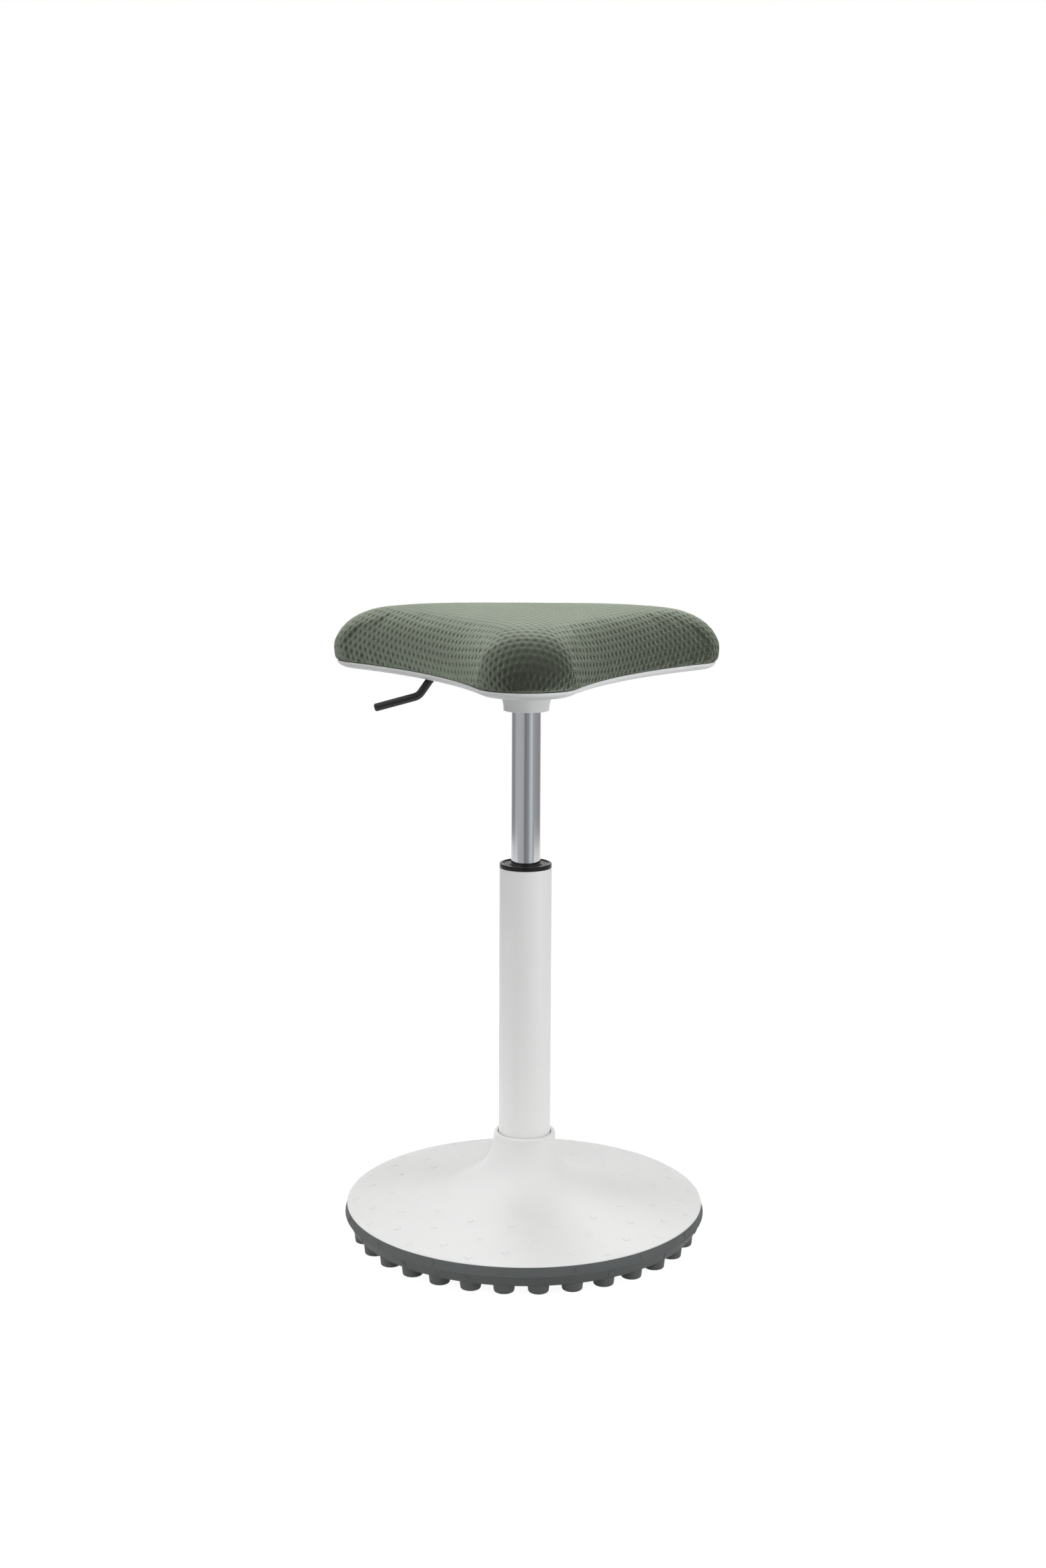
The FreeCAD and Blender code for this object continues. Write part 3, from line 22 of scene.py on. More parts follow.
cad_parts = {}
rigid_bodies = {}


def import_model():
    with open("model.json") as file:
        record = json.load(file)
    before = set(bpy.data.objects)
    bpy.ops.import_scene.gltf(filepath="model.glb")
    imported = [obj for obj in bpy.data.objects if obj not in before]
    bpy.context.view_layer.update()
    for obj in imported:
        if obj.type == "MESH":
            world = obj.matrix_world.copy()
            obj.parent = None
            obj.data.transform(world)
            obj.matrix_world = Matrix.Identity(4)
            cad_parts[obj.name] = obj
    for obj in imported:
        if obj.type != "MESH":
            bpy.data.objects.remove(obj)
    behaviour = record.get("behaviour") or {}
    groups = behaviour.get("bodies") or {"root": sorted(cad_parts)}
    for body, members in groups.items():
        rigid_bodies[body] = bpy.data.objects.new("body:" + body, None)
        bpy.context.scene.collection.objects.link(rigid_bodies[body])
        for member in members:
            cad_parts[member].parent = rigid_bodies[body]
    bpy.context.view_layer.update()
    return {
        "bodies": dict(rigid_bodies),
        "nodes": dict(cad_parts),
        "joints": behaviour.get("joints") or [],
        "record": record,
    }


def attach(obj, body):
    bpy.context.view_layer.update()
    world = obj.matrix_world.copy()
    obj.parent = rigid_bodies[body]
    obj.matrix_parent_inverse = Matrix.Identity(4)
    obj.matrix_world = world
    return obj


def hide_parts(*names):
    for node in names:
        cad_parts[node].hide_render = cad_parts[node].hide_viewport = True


log = logging.getLogger("stool")

MM = 0.001

Point = tuple[float, float]
Place = tuple[float, float, float]
Colour = tuple[float, float, float]
Row = tuple[float, float, float, float]
Socket = bpy.types.NodeSocket
Tree = bpy.types.NodeTree
Material = bpy.types.Material
Mesh = bpy.types.Mesh
Piece = bpy.types.Object


class Slot(Enum):
    """Finishes that the record names."""

    SOLE_RUBBER = "sole_rubber"
    COVER_WHITE = "cover_white"
    POST_WHITE = "post_white"
    RING_BLACK = "ring_black"
    TUBE_STEEL = "tube_steel"
    SHELL_WHITE = "shell_white"
    LEVER_BLACK = "lever_black"
    KNIT_FABRIC = "knit_fabric"
    SEAT_FOAM = "seat_foam"
    PAN_PLASTIC = "pan_plastic"
    CAST_IRON = "cast_iron"
    SOCKET_STEEL = "socket_steel"
    ZINC_STEEL = "zinc_steel"
    BEARING_STEEL = "bearing_steel"
    ROD_CHROME = "rod_chrome"
    NYLON_NATURAL = "nylon_natural"
    VALVE_BRASS = "valve_brass"
    ALUMINIUM_PLAIN = "aluminium_plain"
    SEAL_RUBBER = "seal_rubber"


class Body(Enum):
    """Bodies of the frame that the visible pieces ride on."""

    BASE = "base"
    SEAT = "seat"
    LEVER = "lever"


class Side(Enum):
    """Side of the way an arc is drawn on which it bulges."""

    LEFT = 1
    RIGHT = -1


class Face(Enum):
    """Way that a filled ring faces."""

    UP = 1
    DOWN = -1


# Pitch of the knit's dimples along a row and from row to row, in millimetres
DIMPLE_PITCH = 7.4
DIMPLE_ROWS = 7.2

# Turns per metre, along and across the rows, of the three waves whose sum peaks in each dimple
DIMPLE_WAVES = (
    (1000.0 / DIMPLE_PITCH, 500.0 / DIMPLE_ROWS),
    (1000.0 / DIMPLE_PITCH, -500.0 / DIMPLE_ROWS),
    (0.0, 1000.0 / DIMPLE_ROWS),
)

# Sum of the waves at a dimple's lip and well inside it, and how much lower the ribs are inside
DIMPLE_LIP = -0.9
DIMPLE_INSIDE = 2.5
RIB_LOSS = 0.35

# Way across the ribs on the cloth, and power that makes the painted shade in the gaps between them narrow
RIB_WAY = (0.77, -0.64)
GAP_SHADE_POWER = 1.5

# Turned and polished metal: lines per metre along the axis and their slow drift across it
LINES = 2600.0
LINE_DRIFT = 3.0

# Share of the noise at which wear starts and is full
WEAR_RANGE = (0.45, 0.75)

# Distance in metres within which two vertices become one
MERGE_DISTANCE = 1e-7

# Net of the crown: distance of its rows and its least distance from the rim, both in steps, and
# the distance in millimetres within which two of its points are one
NET_ROW = 0.866
NET_CLEARANCE = 0.7
NET_TOLERANCE = 1e-4


# Shader nodes
class NodeMaker:
    """A shader node tree under construction."""

    def __init__(self, tree: Tree) -> None:
        """Keep the tree."""
        self.tree = tree

    def feed(self, target: Socket, value: object) -> None:
        """Join an input to a socket, or set it to a number, a colour or a vector.

        Args:
            target: The input.
            value: What it is fed.
        """
        if isinstance(value, Socket):
            self.tree.links.new(value, target)
        else:
            target.default_value = (*value, 1.0) if target.type == "RGBA" else value

    def node(self, kind: str, inputs: Optional[dict[object, object]] = None,
             **settings: object) -> bpy.types.Node:
        """Add a node.

        Args:
            kind: Its type, without the two words that all types start with.
            inputs: Value or socket for each input, by name or number.
            **settings: Attributes of the node.

        Returns:
            The node.
        """
        node = self.tree.nodes.new("ShaderNode" + kind)
        for key, value in settings.items():
            setattr(node, key, value)
        for key, value in (inputs or {}).items():
            self.feed(node.inputs[key], value)
        return node

    def math(self, operation: str, *values: object) -> Socket:
        """Add a Math node on numbers or sockets and return its result."""
        return self.node("Math", dict(enumerate(values)), operation=operation).outputs[0]

    def map_range(self, value: Socket, source: Point = (0.0, 1.0), target: Point = (0.0, 1.0),
                  kind: str = "LINEAR") -> Socket:
        """Map a value from one range onto another.

        Args:
            value: The value's socket.
            source: Ends of the range it comes from.
            target: Ends of the range it goes to.
            kind: Way of going from end to end.

        Returns:
            The mapped value's socket.
        """
        ends = {"Value": value, "From Min": source[0], "From Max": source[1],
                "To Min": target[0], "To Max": target[1]}
        return self.node("MapRange", ends, interpolation_type=kind).outputs[0]

    def background_rays(self) -> Socket:
        """Mask of the camera, glossy and transmission rays, which see the white background.

        Returns:
            The mask's socket.
        """
        seen = self.node("LightPath").outputs
        mask = seen["Is Camera Ray"]
        for label in ("Is Glossy Ray", "Is Transmission Ray"):
            mask = self.math("MAXIMUM", mask, seen[label])
        return mask


class GroupMaker(NodeMaker):
    """A node group of plain numbers under construction."""

    def __init__(self, name: str, **inputs: float) -> None:
        """Make a group with these inputs, in whose names an underscore stands for a space.

        Args:
            name: Name of the group.
            **inputs: Default of each input.
        """
        super().__init__(bpy.data.node_groups.new(name, "ShaderNodeTree"))
        for label, default in inputs.items():
            socket = self.tree.interface.new_socket(label.replace("_", " "), in_out="INPUT",
                                                    socket_type="NodeSocketFloat")
            socket.default_value = default
        self.entry = self.tree.nodes.new("NodeGroupInput").outputs

    def close(self, **results: Socket) -> Tree:
        """Give the group these outputs and return it.

        Args:
            **results: Socket for each output.

        Returns:
            The group.
        """
        for label in results:
            self.tree.interface.new_socket(label, in_out="OUTPUT", socket_type="NodeSocketFloat")
        ends = self.tree.nodes.new("NodeGroupOutput").inputs
        for label, result in results.items():
            self.feed(ends[label], result)
        return self.tree


@cache
def surface_grain() -> Tree:
    """Group of a fine surface grain: a height and a mottle from two scales of noise.

    Returns:
        The group.
    """
    group = GroupMaker("surface_grain", Scale=900.0, Mottle_Scale=40.0)
    place = group.node("TexCoord").outputs["Object"]
    fine, broad = (
        group.node("TexNoise", {"Vector": place, "Scale": group.entry[label], "Detail": detail})
        for label, detail in (("Scale", 2.0), ("Mottle Scale", 4.0)))
    return group.close(Height=fine.outputs[0], Mottle=broad.outputs[0])


@cache
def handling() -> Tree:
    """Group of large soft patches of wear and dust.

    Returns:
        The group.
    """
    group = GroupMaker("handling", Scale=9.0)
    patches = group.node("TexNoise", {"Vector": group.node("TexCoord").outputs["Object"],
                                      "Scale": group.entry["Scale"], "Detail": 6.0, "Roughness": 0.65})
    return group.close(Mask=group.map_range(patches.outputs[0], WEAR_RANGE))


@cache
def brushing() -> Tree:
    """Group of fine lines round the column's axis, as turning or polishing leaves them.

    Returns:
        The group.
    """
    group = GroupMaker("brushing")
    place = group.node("SeparateXYZ", {0: group.node("TexCoord").outputs["Object"]}).outputs
    scaled = {axis: group.math("MULTIPLY", place[axis], scale)
              for axis, scale in enumerate((LINE_DRIFT, LINE_DRIFT, LINES))}
    lines = group.node("TexNoise", {"Vector": group.node("CombineXYZ", scaled).outputs[0],
                                    "Scale": 1.0, "Detail": 3.0})
    return group.close(Height=lines.outputs[0])


@cache
def knit_pattern() -> Tree:
    """Group of dimples and ribs over the cloth's own map.

    Returns:
        The group, whose outputs are the dimples' mask, the ribs' height and a mask of the ribs' gaps, where
        shade is painted.
    """
    group = GroupMaker("knit_pattern", Rib_Pitch=0.0012)
    cloth = group.node("UVMap", uv_map="cloth").outputs[0]

    def along(way: tuple[float, float, float]) -> Socket:
        """How far a point of the cloth lies along a way."""
        return group.node("VectorMath", {0: cloth, 1: way}, operation="DOT_PRODUCT").outputs["Value"]

    first, second, third = (group.math("COSINE", along((across * math.tau, up * math.tau, 0.0)))
                            for across, up in DIMPLE_WAVES)
    total = group.math("ADD", group.math("ADD", first, second), third)
    bowl = group.map_range(total, (DIMPLE_LIP, DIMPLE_INSIDE), kind="SMOOTHSTEP")
    turns = group.math("DIVIDE", math.tau, group.entry["Rib Pitch"])
    rib = group.math("COSINE", group.math("MULTIPLY", along((*RIB_WAY, 0.0)), turns))
    height = group.math("MULTIPLY_ADD", rib, 0.5, 0.5)
    lower = group.math("MULTIPLY_ADD", bowl, -RIB_LOSS, 1.0)
    # Painted shade: the gaps between the ribs get a dark colour where shade falls between them
    gap_shade = group.math("POWER", group.math("SUBTRACT", 1.0, height), GAP_SHADE_POWER)
    return group.close(Dimple=bowl, Rib=group.math("MULTIPLY", height, lower), Gap=gap_shade)


# Finishes
class Painter(NodeMaker):
    """A material's node tree with its Principled shader."""

    def __init__(self, name: str) -> None:
        """Start a material of this name.

        Args:
            name: Name of the material.
        """
        self.material = bpy.data.materials.new(name)
        self.material.use_nodes = True
        super().__init__(self.material.node_tree)
        self.shader = self.tree.nodes["Principled BSDF"]

    def set(self, **values: object) -> None:
        """Feed the shader's inputs, in whose names an underscore stands for a space."""
        for key, value in values.items():
            self.feed(self.shader.inputs[key.replace("_", " ")], value)

    def group(self, tree: Tree, **values: float) -> bpy.types.NodeOutputs:
        """Place a node group with these values on its inputs and return its outputs."""
        inputs = {key.replace("_", " "): value for key, value in values.items()}
        return self.node("Group", inputs, node_tree=tree).outputs

    def mix(self, share: Socket, first: object, second: object) -> Socket:
        """Mix two colours.

        Args:
            share: Share of the second colour.
            first: Colour or socket where the share is 0.
            second: Colour or socket where the share is 1.

        Returns:
            The mixed colour's socket.
        """
        return self.node("Mix", {0: share, 6: first, 7: second}, data_type="RGBA").outputs[2]

    def bump(self, height: Socket, distance: float, after: Optional[Socket] = None) -> Socket:
        """Add relief to the shader's normal.

        Args:
            height: Height's socket.
            distance: Height in metres.
            after: Normal of an earlier relief that this one adds to.

        Returns:
            The new normal's socket.
        """
        inputs = {"Strength": 1.0, "Distance": distance, "Height": height}
        if after is not None:
            inputs["Normal"] = after
        relief = self.node("Bump", inputs).outputs[0]
        self.set(Normal=relief)
        return relief


def dimmed(colour: Colour, share: float) -> Colour:
    """Return a colour with a share of its light taken away."""
    return tuple(channel * (1.0 - share) for channel in colour)


@dataclass(frozen=True)
class Moulded:
    """Moulded plastic or rubber with a fine spark-eroded grain."""

    colour: Colour
    roughness: float = 0.4
    roughness_swing: float = 0.08
    grain_size: float = 1500.0
    grain_depth: float = 0.00003
    mottle: float = 0.04
    mottle_size: float = 55.0
    wear: float = 0.06
    wear_size: float = 14.0
    specular: float = 0.5
    glow: float = 0.0
    glow_depth: float = 0.004

    def build(self, name: str) -> Material:
        """Make the material.

        Args:
            name: Name of the material.

        Returns:
            The material.
        """
        paint = Painter(name)
        grain = paint.group(surface_grain(), Scale=self.grain_size, Mottle_Scale=self.mottle_size)
        worn = paint.group(handling(), Scale=self.wear_size)["Mask"]
        base = paint.mix(grain["Mottle"], self.colour, dimmed(self.colour, self.mottle * 2))
        swing = (self.roughness, self.roughness + self.roughness_swing)
        paint.set(Base_Color=paint.mix(worn, base, dimmed(self.colour, self.wear)),
                  Roughness=paint.map_range(worn, target=swing), Specular_IOR_Level=self.specular,
                  Subsurface_Weight=self.glow, Subsurface_Scale=self.glow_depth)
        paint.bump(grain["Height"], self.grain_depth)
        return paint.material


@dataclass(frozen=True)
class Metal:
    """Bare metal, turned, polished or cast."""

    colour: Colour
    roughness: float = 0.3
    roughness_swing: float = 0.08
    line_depth: float = 0.000006
    grain_depth: float = 0.0
    grain_size: float = 700.0
    stain: float = 0.08
    stain_size: float = 22.0
    metallic: float = 1.0
    anisotropy: float = 0.0

    def build(self, name: str) -> Material:
        """Make the material.

        Args:
            name: Name of the material.

        Returns:
            The material.
        """
        paint = Painter(name)
        stained = paint.group(handling(), Scale=self.stain_size)["Mask"]
        swing = (self.roughness, self.roughness + self.roughness_swing)
        paint.set(Base_Color=paint.mix(stained, self.colour, dimmed(self.colour, self.stain)),
                  Roughness=paint.map_range(stained, target=swing),
                  Metallic=self.metallic, Anisotropic=self.anisotropy)
        relief = None
        if self.line_depth:
            relief = paint.bump(paint.group(brushing())["Height"], self.line_depth)
        if self.grain_depth:
            grain = paint.group(surface_grain(), Scale=self.grain_size)
            paint.bump(grain["Height"], self.grain_depth, after=relief)
        return paint.material


@dataclass(frozen=True)
class Painted:
    """Powder coat with its faint orange peel, over metal."""

    colour: Colour
    roughness: float = 0.35
    roughness_less: float = 0.04
    roughness_more: float = 0.06
    peel_depth: float = 0.00002
    peel_size: float = 420.0
    mottle_size: float = 30.0
    wear: float = 0.05
    wear_size: float = 11.0

    def build(self, name: str) -> Material:
        """Make the material.

        Args:
            name: Name of the material.

        Returns:
            The material.
        """
        paint = Painter(name)
        grain = paint.group(surface_grain(), Scale=self.peel_size, Mottle_Scale=self.mottle_size)
        worn = paint.group(handling(), Scale=self.wear_size)["Mask"]
        swing = (self.roughness - self.roughness_less, self.roughness + self.roughness_more)
        paint.set(Base_Color=paint.mix(worn, self.colour, dimmed(self.colour, self.wear)),
                  Roughness=paint.map_range(grain["Mottle"], target=swing))
        paint.bump(grain["Height"], self.peel_depth)
        return paint.material


@dataclass(frozen=True)
class Knit:
    """Knitted cloth: staggered soft dimples, a slanting fine rib, and a pale bloom at a low angle, with
    painted shade in the rib gaps and the dimples.
    """

    rib: Colour
    # Near-black colour of the gaps between the ribs: painted shade
    gap_shade: Colour
    # Darker colour inside the dimples: painted shade
    dimple_shade: Colour
    dimple_depth: float = 0.0002
    rib_pitch: float = 0.0013
    rib_depth: float = 0.0004
    fibre_size: float = 2400.0
    fibre_depth: float = 0.00008
    mottle_size: float = 260.0
    mottle: Point = (0.82, 1.18)
    roughness: float = 0.9
    specular: float = 0.3
    sheen: float = 1.0
    sheen_roughness: float = 0.4
    sheen_tint: Colour = (0.88, 1.0, 0.8)

    def build(self, name: str) -> Material:
        """Make the material.

        Args:
            name: Name of the material.

        Returns:
            The material.
        """
        paint = Painter(name)
        knit = paint.group(knit_pattern(), Rib_Pitch=self.rib_pitch)
        fibre = paint.group(surface_grain(), Scale=self.fibre_size, Mottle_Scale=self.mottle_size)
        # Painted shade: the rib gaps and the dimples get darker colours in place of the shade that falls
        # into them; the fibre mottle on top is random tone
        ribs_and_gap_shade = paint.mix(knit["Gap"], self.rib, self.gap_shade)
        mottled_and_shaded = paint.node("HueSaturation", {
            "Color": paint.mix(knit["Dimple"], ribs_and_gap_shade, self.dimple_shade),
            "Value": paint.map_range(fibre["Mottle"], target=self.mottle)})
        paint.set(Base_Color=mottled_and_shaded.outputs[0], Roughness=self.roughness,
                  Specular_IOR_Level=self.specular, Sheen_Weight=self.sheen,
                  Sheen_Roughness=self.sheen_roughness, Sheen_Tint=self.sheen_tint)
        relief = paint.bump(paint.math("SUBTRACT", 1.0, knit["Dimple"]), self.dimple_depth)
        relief = paint.bump(knit["Rib"], self.rib_depth, after=relief)
        paint.bump(fibre["Height"], self.fibre_depth, after=relief)
        return paint.material


FINISHES = {
    Slot.SOLE_RUBBER: Moulded((0.118, 0.127, 0.126), roughness=0.62, grain_depth=0.00006, mottle=0.08,
                              wear=0.1, specular=0.35),
    Slot.COVER_WHITE: Moulded((0.84, 0.84, 0.83), roughness=0.42, grain_depth=0.00002, mottle=0.008,
                              wear=0.015, glow=0.05),
    Slot.POST_WHITE: Painted((0.86, 0.86, 0.855), roughness=0.34, wear=0.015),
    Slot.RING_BLACK: Moulded((0.009, 0.009, 0.01), roughness=0.2, grain_depth=0.000006, mottle=0.02,
                             specular=0.28),
    Slot.TUBE_STEEL: Metal((0.58, 0.585, 0.59), roughness=0.1, roughness_swing=0.04, stain=0.04,
                           anisotropy=0.4),
    Slot.SHELL_WHITE: Moulded((0.8, 0.81, 0.81), roughness=0.4, grain_depth=0.00002, mottle=0.008,
                              wear=0.015, glow=0.05),
    Slot.LEVER_BLACK: Painted((0.011, 0.011, 0.012), roughness=0.4),
    # Knit colours: the ribs, painted shade in the gaps between ribs, and painted shade in the dimples
    Slot.KNIT_FABRIC: Knit((0.07, 0.081, 0.057), (0.012, 0.014, 0.01), (0.046, 0.054, 0.039)),
    Slot.SEAT_FOAM: Moulded((0.6, 0.55, 0.38), roughness=0.95, grain_size=500.0, grain_depth=0.0004,
                            mottle=0.12),
    Slot.PAN_PLASTIC: Moulded((0.03, 0.03, 0.032), roughness=0.55),
    Slot.CAST_IRON: Metal((0.07, 0.07, 0.074), roughness=0.6, line_depth=0.0, grain_depth=0.0003,
                          metallic=0.7),
    Slot.SOCKET_STEEL: Painted((0.03, 0.03, 0.032), roughness=0.42),
    Slot.ZINC_STEEL: Metal((0.6, 0.61, 0.63), line_depth=0.0, grain_depth=0.00003),
    Slot.BEARING_STEEL: Metal((0.55, 0.55, 0.56), roughness=0.18),
    Slot.ROD_CHROME: Metal((0.68, 0.68, 0.69), roughness=0.07, line_depth=0.000002),
    Slot.NYLON_NATURAL: Moulded((0.68, 0.66, 0.57), glow=0.1),
    Slot.VALVE_BRASS: Metal((0.6, 0.45, 0.18), roughness=0.24),
    Slot.ALUMINIUM_PLAIN: Metal((0.62, 0.62, 0.64), roughness=0.28),
    Slot.SEAL_RUBBER: Moulded((0.015, 0.015, 0.015), roughness=0.5),
}


@cache
def finish(slot: Slot) -> Material:
    """Return the material of a slot, made at its first use."""
    return FINISHES[slot].build(slot.value)


# Mesh making
def arc(start: Point, finish: Point, radius: float, side: Side, steps: int = 10) -> list[Point]:
    """Points of an arc between two points.

    Args:
        start: First point.
        finish: Last point.
        radius: The arc's radius.
        side: Side of the way from start to finish on which it bulges.
        steps: Number of its chords.

    Returns:
        The points after start, finish among them.
    """
    dx, dz = finish[0] - start[0], finish[1] - start[1]
    chord = math.hypot(dx, dz)
    rise = math.sqrt(max(radius ** 2 - chord ** 2 / 4, 0.0))
    centre = ((start[0] + finish[0]) / 2 + side.value * dz / chord * rise,
              (start[1] + finish[1]) / 2 - side.value * dx / chord * rise)
    first = math.atan2(start[1] - centre[1], start[0] - centre[0])
    last = math.atan2(finish[1] - centre[1], finish[0] - centre[0])
    turn = (last - first + math.pi) % math.tau - math.pi
    return [(centre[0] + radius * math.cos(first + turn * step / steps),
             centre[1] + radius * math.sin(first + turn * step / steps)) for step in range(1, steps + 1)]


def spot(radius: float, angle: float, height: float = 0.0) -> Vector:
    """Return the point at a radius and an angle in radians from the axis, and at a height."""
    return Vector((radius * math.cos(angle), radius * math.sin(angle), height))


def shade(mesh: Mesh, sharp: float = 32.0) -> None:
    """Shade a mesh smooth, apart from edges above this angle in degrees."""
    mesh.shade_smooth()
    mesh.set_sharp_from_angle(angle=math.radians(sharp))


def new_piece(name: str, mesh: Mesh, sharp: float = 32.0) -> Piece:
    """Put a mesh into the scene as a smooth-shaded object.

    Args:
        name: The object's name.
        mesh: Its mesh.
        sharp: Angle in degrees above which an edge stays sharp.

    Returns:
        The object.
    """
    mesh.validate()
    shade(mesh, sharp)
    piece = bpy.data.objects.new(name, mesh)
    bpy.context.scene.collection.objects.link(piece)
    return piece


def apply_modifiers(piece: Piece) -> None:
    """Put a piece's evaluated mesh in the place of its own and clear its modifiers.

    Args:
        piece: The piece.
    """
    graph = bpy.context.evaluated_depsgraph_get()
    result = bpy.data.meshes.new_from_object(piece.evaluated_get(graph))
    piece.modifiers.clear()
    piece.data = result


@dataclass
class Circle:
    """Circle on which a small form is repeated, and the way outwards and upwards that the form faces."""

    radius: float
    height: float
    phase: float
    count: int
    way: Point = (0.0, 1.0)


class MeshMaker:
    """Gathers vertices and faces, in millimetres, into one mesh."""

    def __init__(self) -> None:
        """Start an empty mesh."""
        self.vertices: list[Vector] = []
        self.faces: list[tuple[int, ...]] = []

    def add_rings(self, rings: Sequence[Sequence[Vector]], closed: bool = False,
                  cap_start: bool = False, cap_end: bool = False) -> None:
        """Skin rings that all have the same number of points.

        Args:
            rings: The rings in order.
            closed: Whether the last ring joins the first.
            cap_start: Whether a face closes the first ring.
            cap_end: Whether a face closes the last ring.
        """
        start = len(self.vertices)
        size = len(rings[0])
        for ring_points in rings:
            self.vertices += ring_points
        spans = len(rings) if closed else len(rings) - 1
        for row in range(spans):
            low = start + row * size
            high = start + (row + 1) % len(rings) * size
            for column in range(size):
                following = (column + 1) % size
                self.faces.append((low + column, low + following, high + following, high + column))
        if cap_start:
            self.faces.append(tuple(reversed(range(start, start + size))))
        if cap_end:
            last = start + (len(rings) - 1) * size
            self.faces.append(tuple(range(last, last + size)))

    def add_turned(self, profile: Sequence[Point], segments: int = 128, matrix: Optional[Matrix] = None,
                   closed: bool = False, cap_end: bool = False) -> None:
        """Turn a profile about an axis.

        Args:
            profile: Radius and height of each of its points.
            segments: Number of points round each ring.
            matrix: Place and way of the axis; the column's if left out.
            closed: Whether the profile's last point joins its first.
            cap_end: Whether a face closes the last ring.
        """
        matrix = matrix or Matrix.Identity(4)
        rings = [[matrix @ spot(radius, math.tau * step / segments, height) for step in range(segments)]
                 for radius, height in profile]
        self.add_rings(rings, closed=closed, cap_end=cap_end)

    def add_around(self, profile: Sequence[Point], circle: Circle, segments: int = 28,
                   cap_end: bool = False) -> None:
        """Repeat a small turned form round a circle.

        Args:
            profile: Radius and height of each of the form's points.
            circle: Where it is repeated and which way it faces.
            segments: Number of points round each of its rings.
            cap_end: Whether a face closes its last ring.
        """
        for number in range(circle.count):
            angle = math.radians(circle.phase + 360.0 / circle.count * number)
            turned = spot(circle.way[0], angle, circle.way[1]).normalized().to_track_quat("Z", "Y")
            place = Matrix.Translation(spot(circle.radius, angle, circle.height))
            self.add_turned(profile, segments, place @ turned.to_matrix().to_4x4(), cap_end=cap_end)

    def mesh(self, name: str) -> Mesh:
        """Make the mesh, in metres, with its faces turned outwards.

        Args:
            name: Name of the mesh.

        Returns:
            The mesh.
        """
        mesh = bpy.data.meshes.new(name)
        mesh.from_pydata([tuple(vertex * MM) for vertex in self.vertices], [], self.faces)
        work = bmesh.new()
        work.from_mesh(mesh)
        bmesh.ops.remove_doubles(work, verts=work.verts, dist=MERGE_DISTANCE)
        bmesh.ops.recalc_face_normals(work, faces=work.faces)
        work.to_mesh(mesh)
        work.free()
        return mesh

    def piece(self, name: str) -> Piece:
        """Make the mesh and put it into the scene."""
        return new_piece(name, self.mesh(name))


def nub_profile(radius: float, rise: float, root: float) -> list[Point]:
    """Low nub from foot to top: a short wall, a round edge and a barely domed top.

    Args:
        radius: The nub's radius.
        rise: How far it stands up.
        root: How far it reaches into the piece below.

    Returns:
        Radius and height of each point.
    """
    edge = rise * 0.8
    points = [(radius, -root), (radius, rise - edge)]
    points += arc((radius, rise - edge), (radius - edge, rise * 0.93), edge, Side.RIGHT, 4)
    return points + [(radius * 0.4, rise), (0.02, rise)]


class SubAssembly:
    """Common step of every visible sub-assembly."""

    def dress(self, piece: Piece, slot: Slot, body: Body, *nodes: str) -> None:
        """Give a piece its finish and its body, and let it stand for CAD nodes.

        Args:
            piece: The piece.
            slot: Its finish.
            body: The body it rides on.
            *nodes: CAD nodes that it stands for.
        """
        piece.data.materials.clear()
        piece.data.materials.append(finish(slot))
        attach(piece, body.value)
        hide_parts(*nodes)
        log.info("%s: %d faces, rides on %s", piece.name, len(piece.data.polygons), body.value)


@dataclass
class BaseSizes:
    """Sizes of the sole and the cover."""

    nub_count: int = 16
    nub_radius: float = 3.4
    nub_rise: float = 0.85
    nub_root: float = 0.8
    nub_rings: tuple[float, ...] = (104.4, 130.0, 151.0, 163.8)
    rim_nub_radius: float = 2.7
    rim_nub_rise: float = 0.7
    rim_nub_root: float = 1.0
    rim_nub_heights: Point = (24.2, 14.6)
    even_phase: float = -96.4
    odd_phase: float = -85.2
    stud_count: int = 32
    stud_ring: float = 158.5
    stud_foot: float = 9.3
    stud_root: float = 10.2
    stud_edge: float = 1.5
    stud_height: float = 8.0
    pad_radius: float = 30.0
    pad_edge: float = 1.2
    web_top: float = 12.0
    rim_height: float = 28.0
    rim_radius: float = 172.6
    edge_radius: float = 174.0
    line_height: float = 19.7
    line_rise: float = 0.45
    shoulder: Point = (169.4, 10.5)
    cover_wall: float = 3.0
    dome: tuple[Point, ...] = ((75.0, 44.1), (104.4, 39.95), (130.0, 36.35), (151.0, 33.4), (163.8, 31.0),
                               (169.6, 29.6))


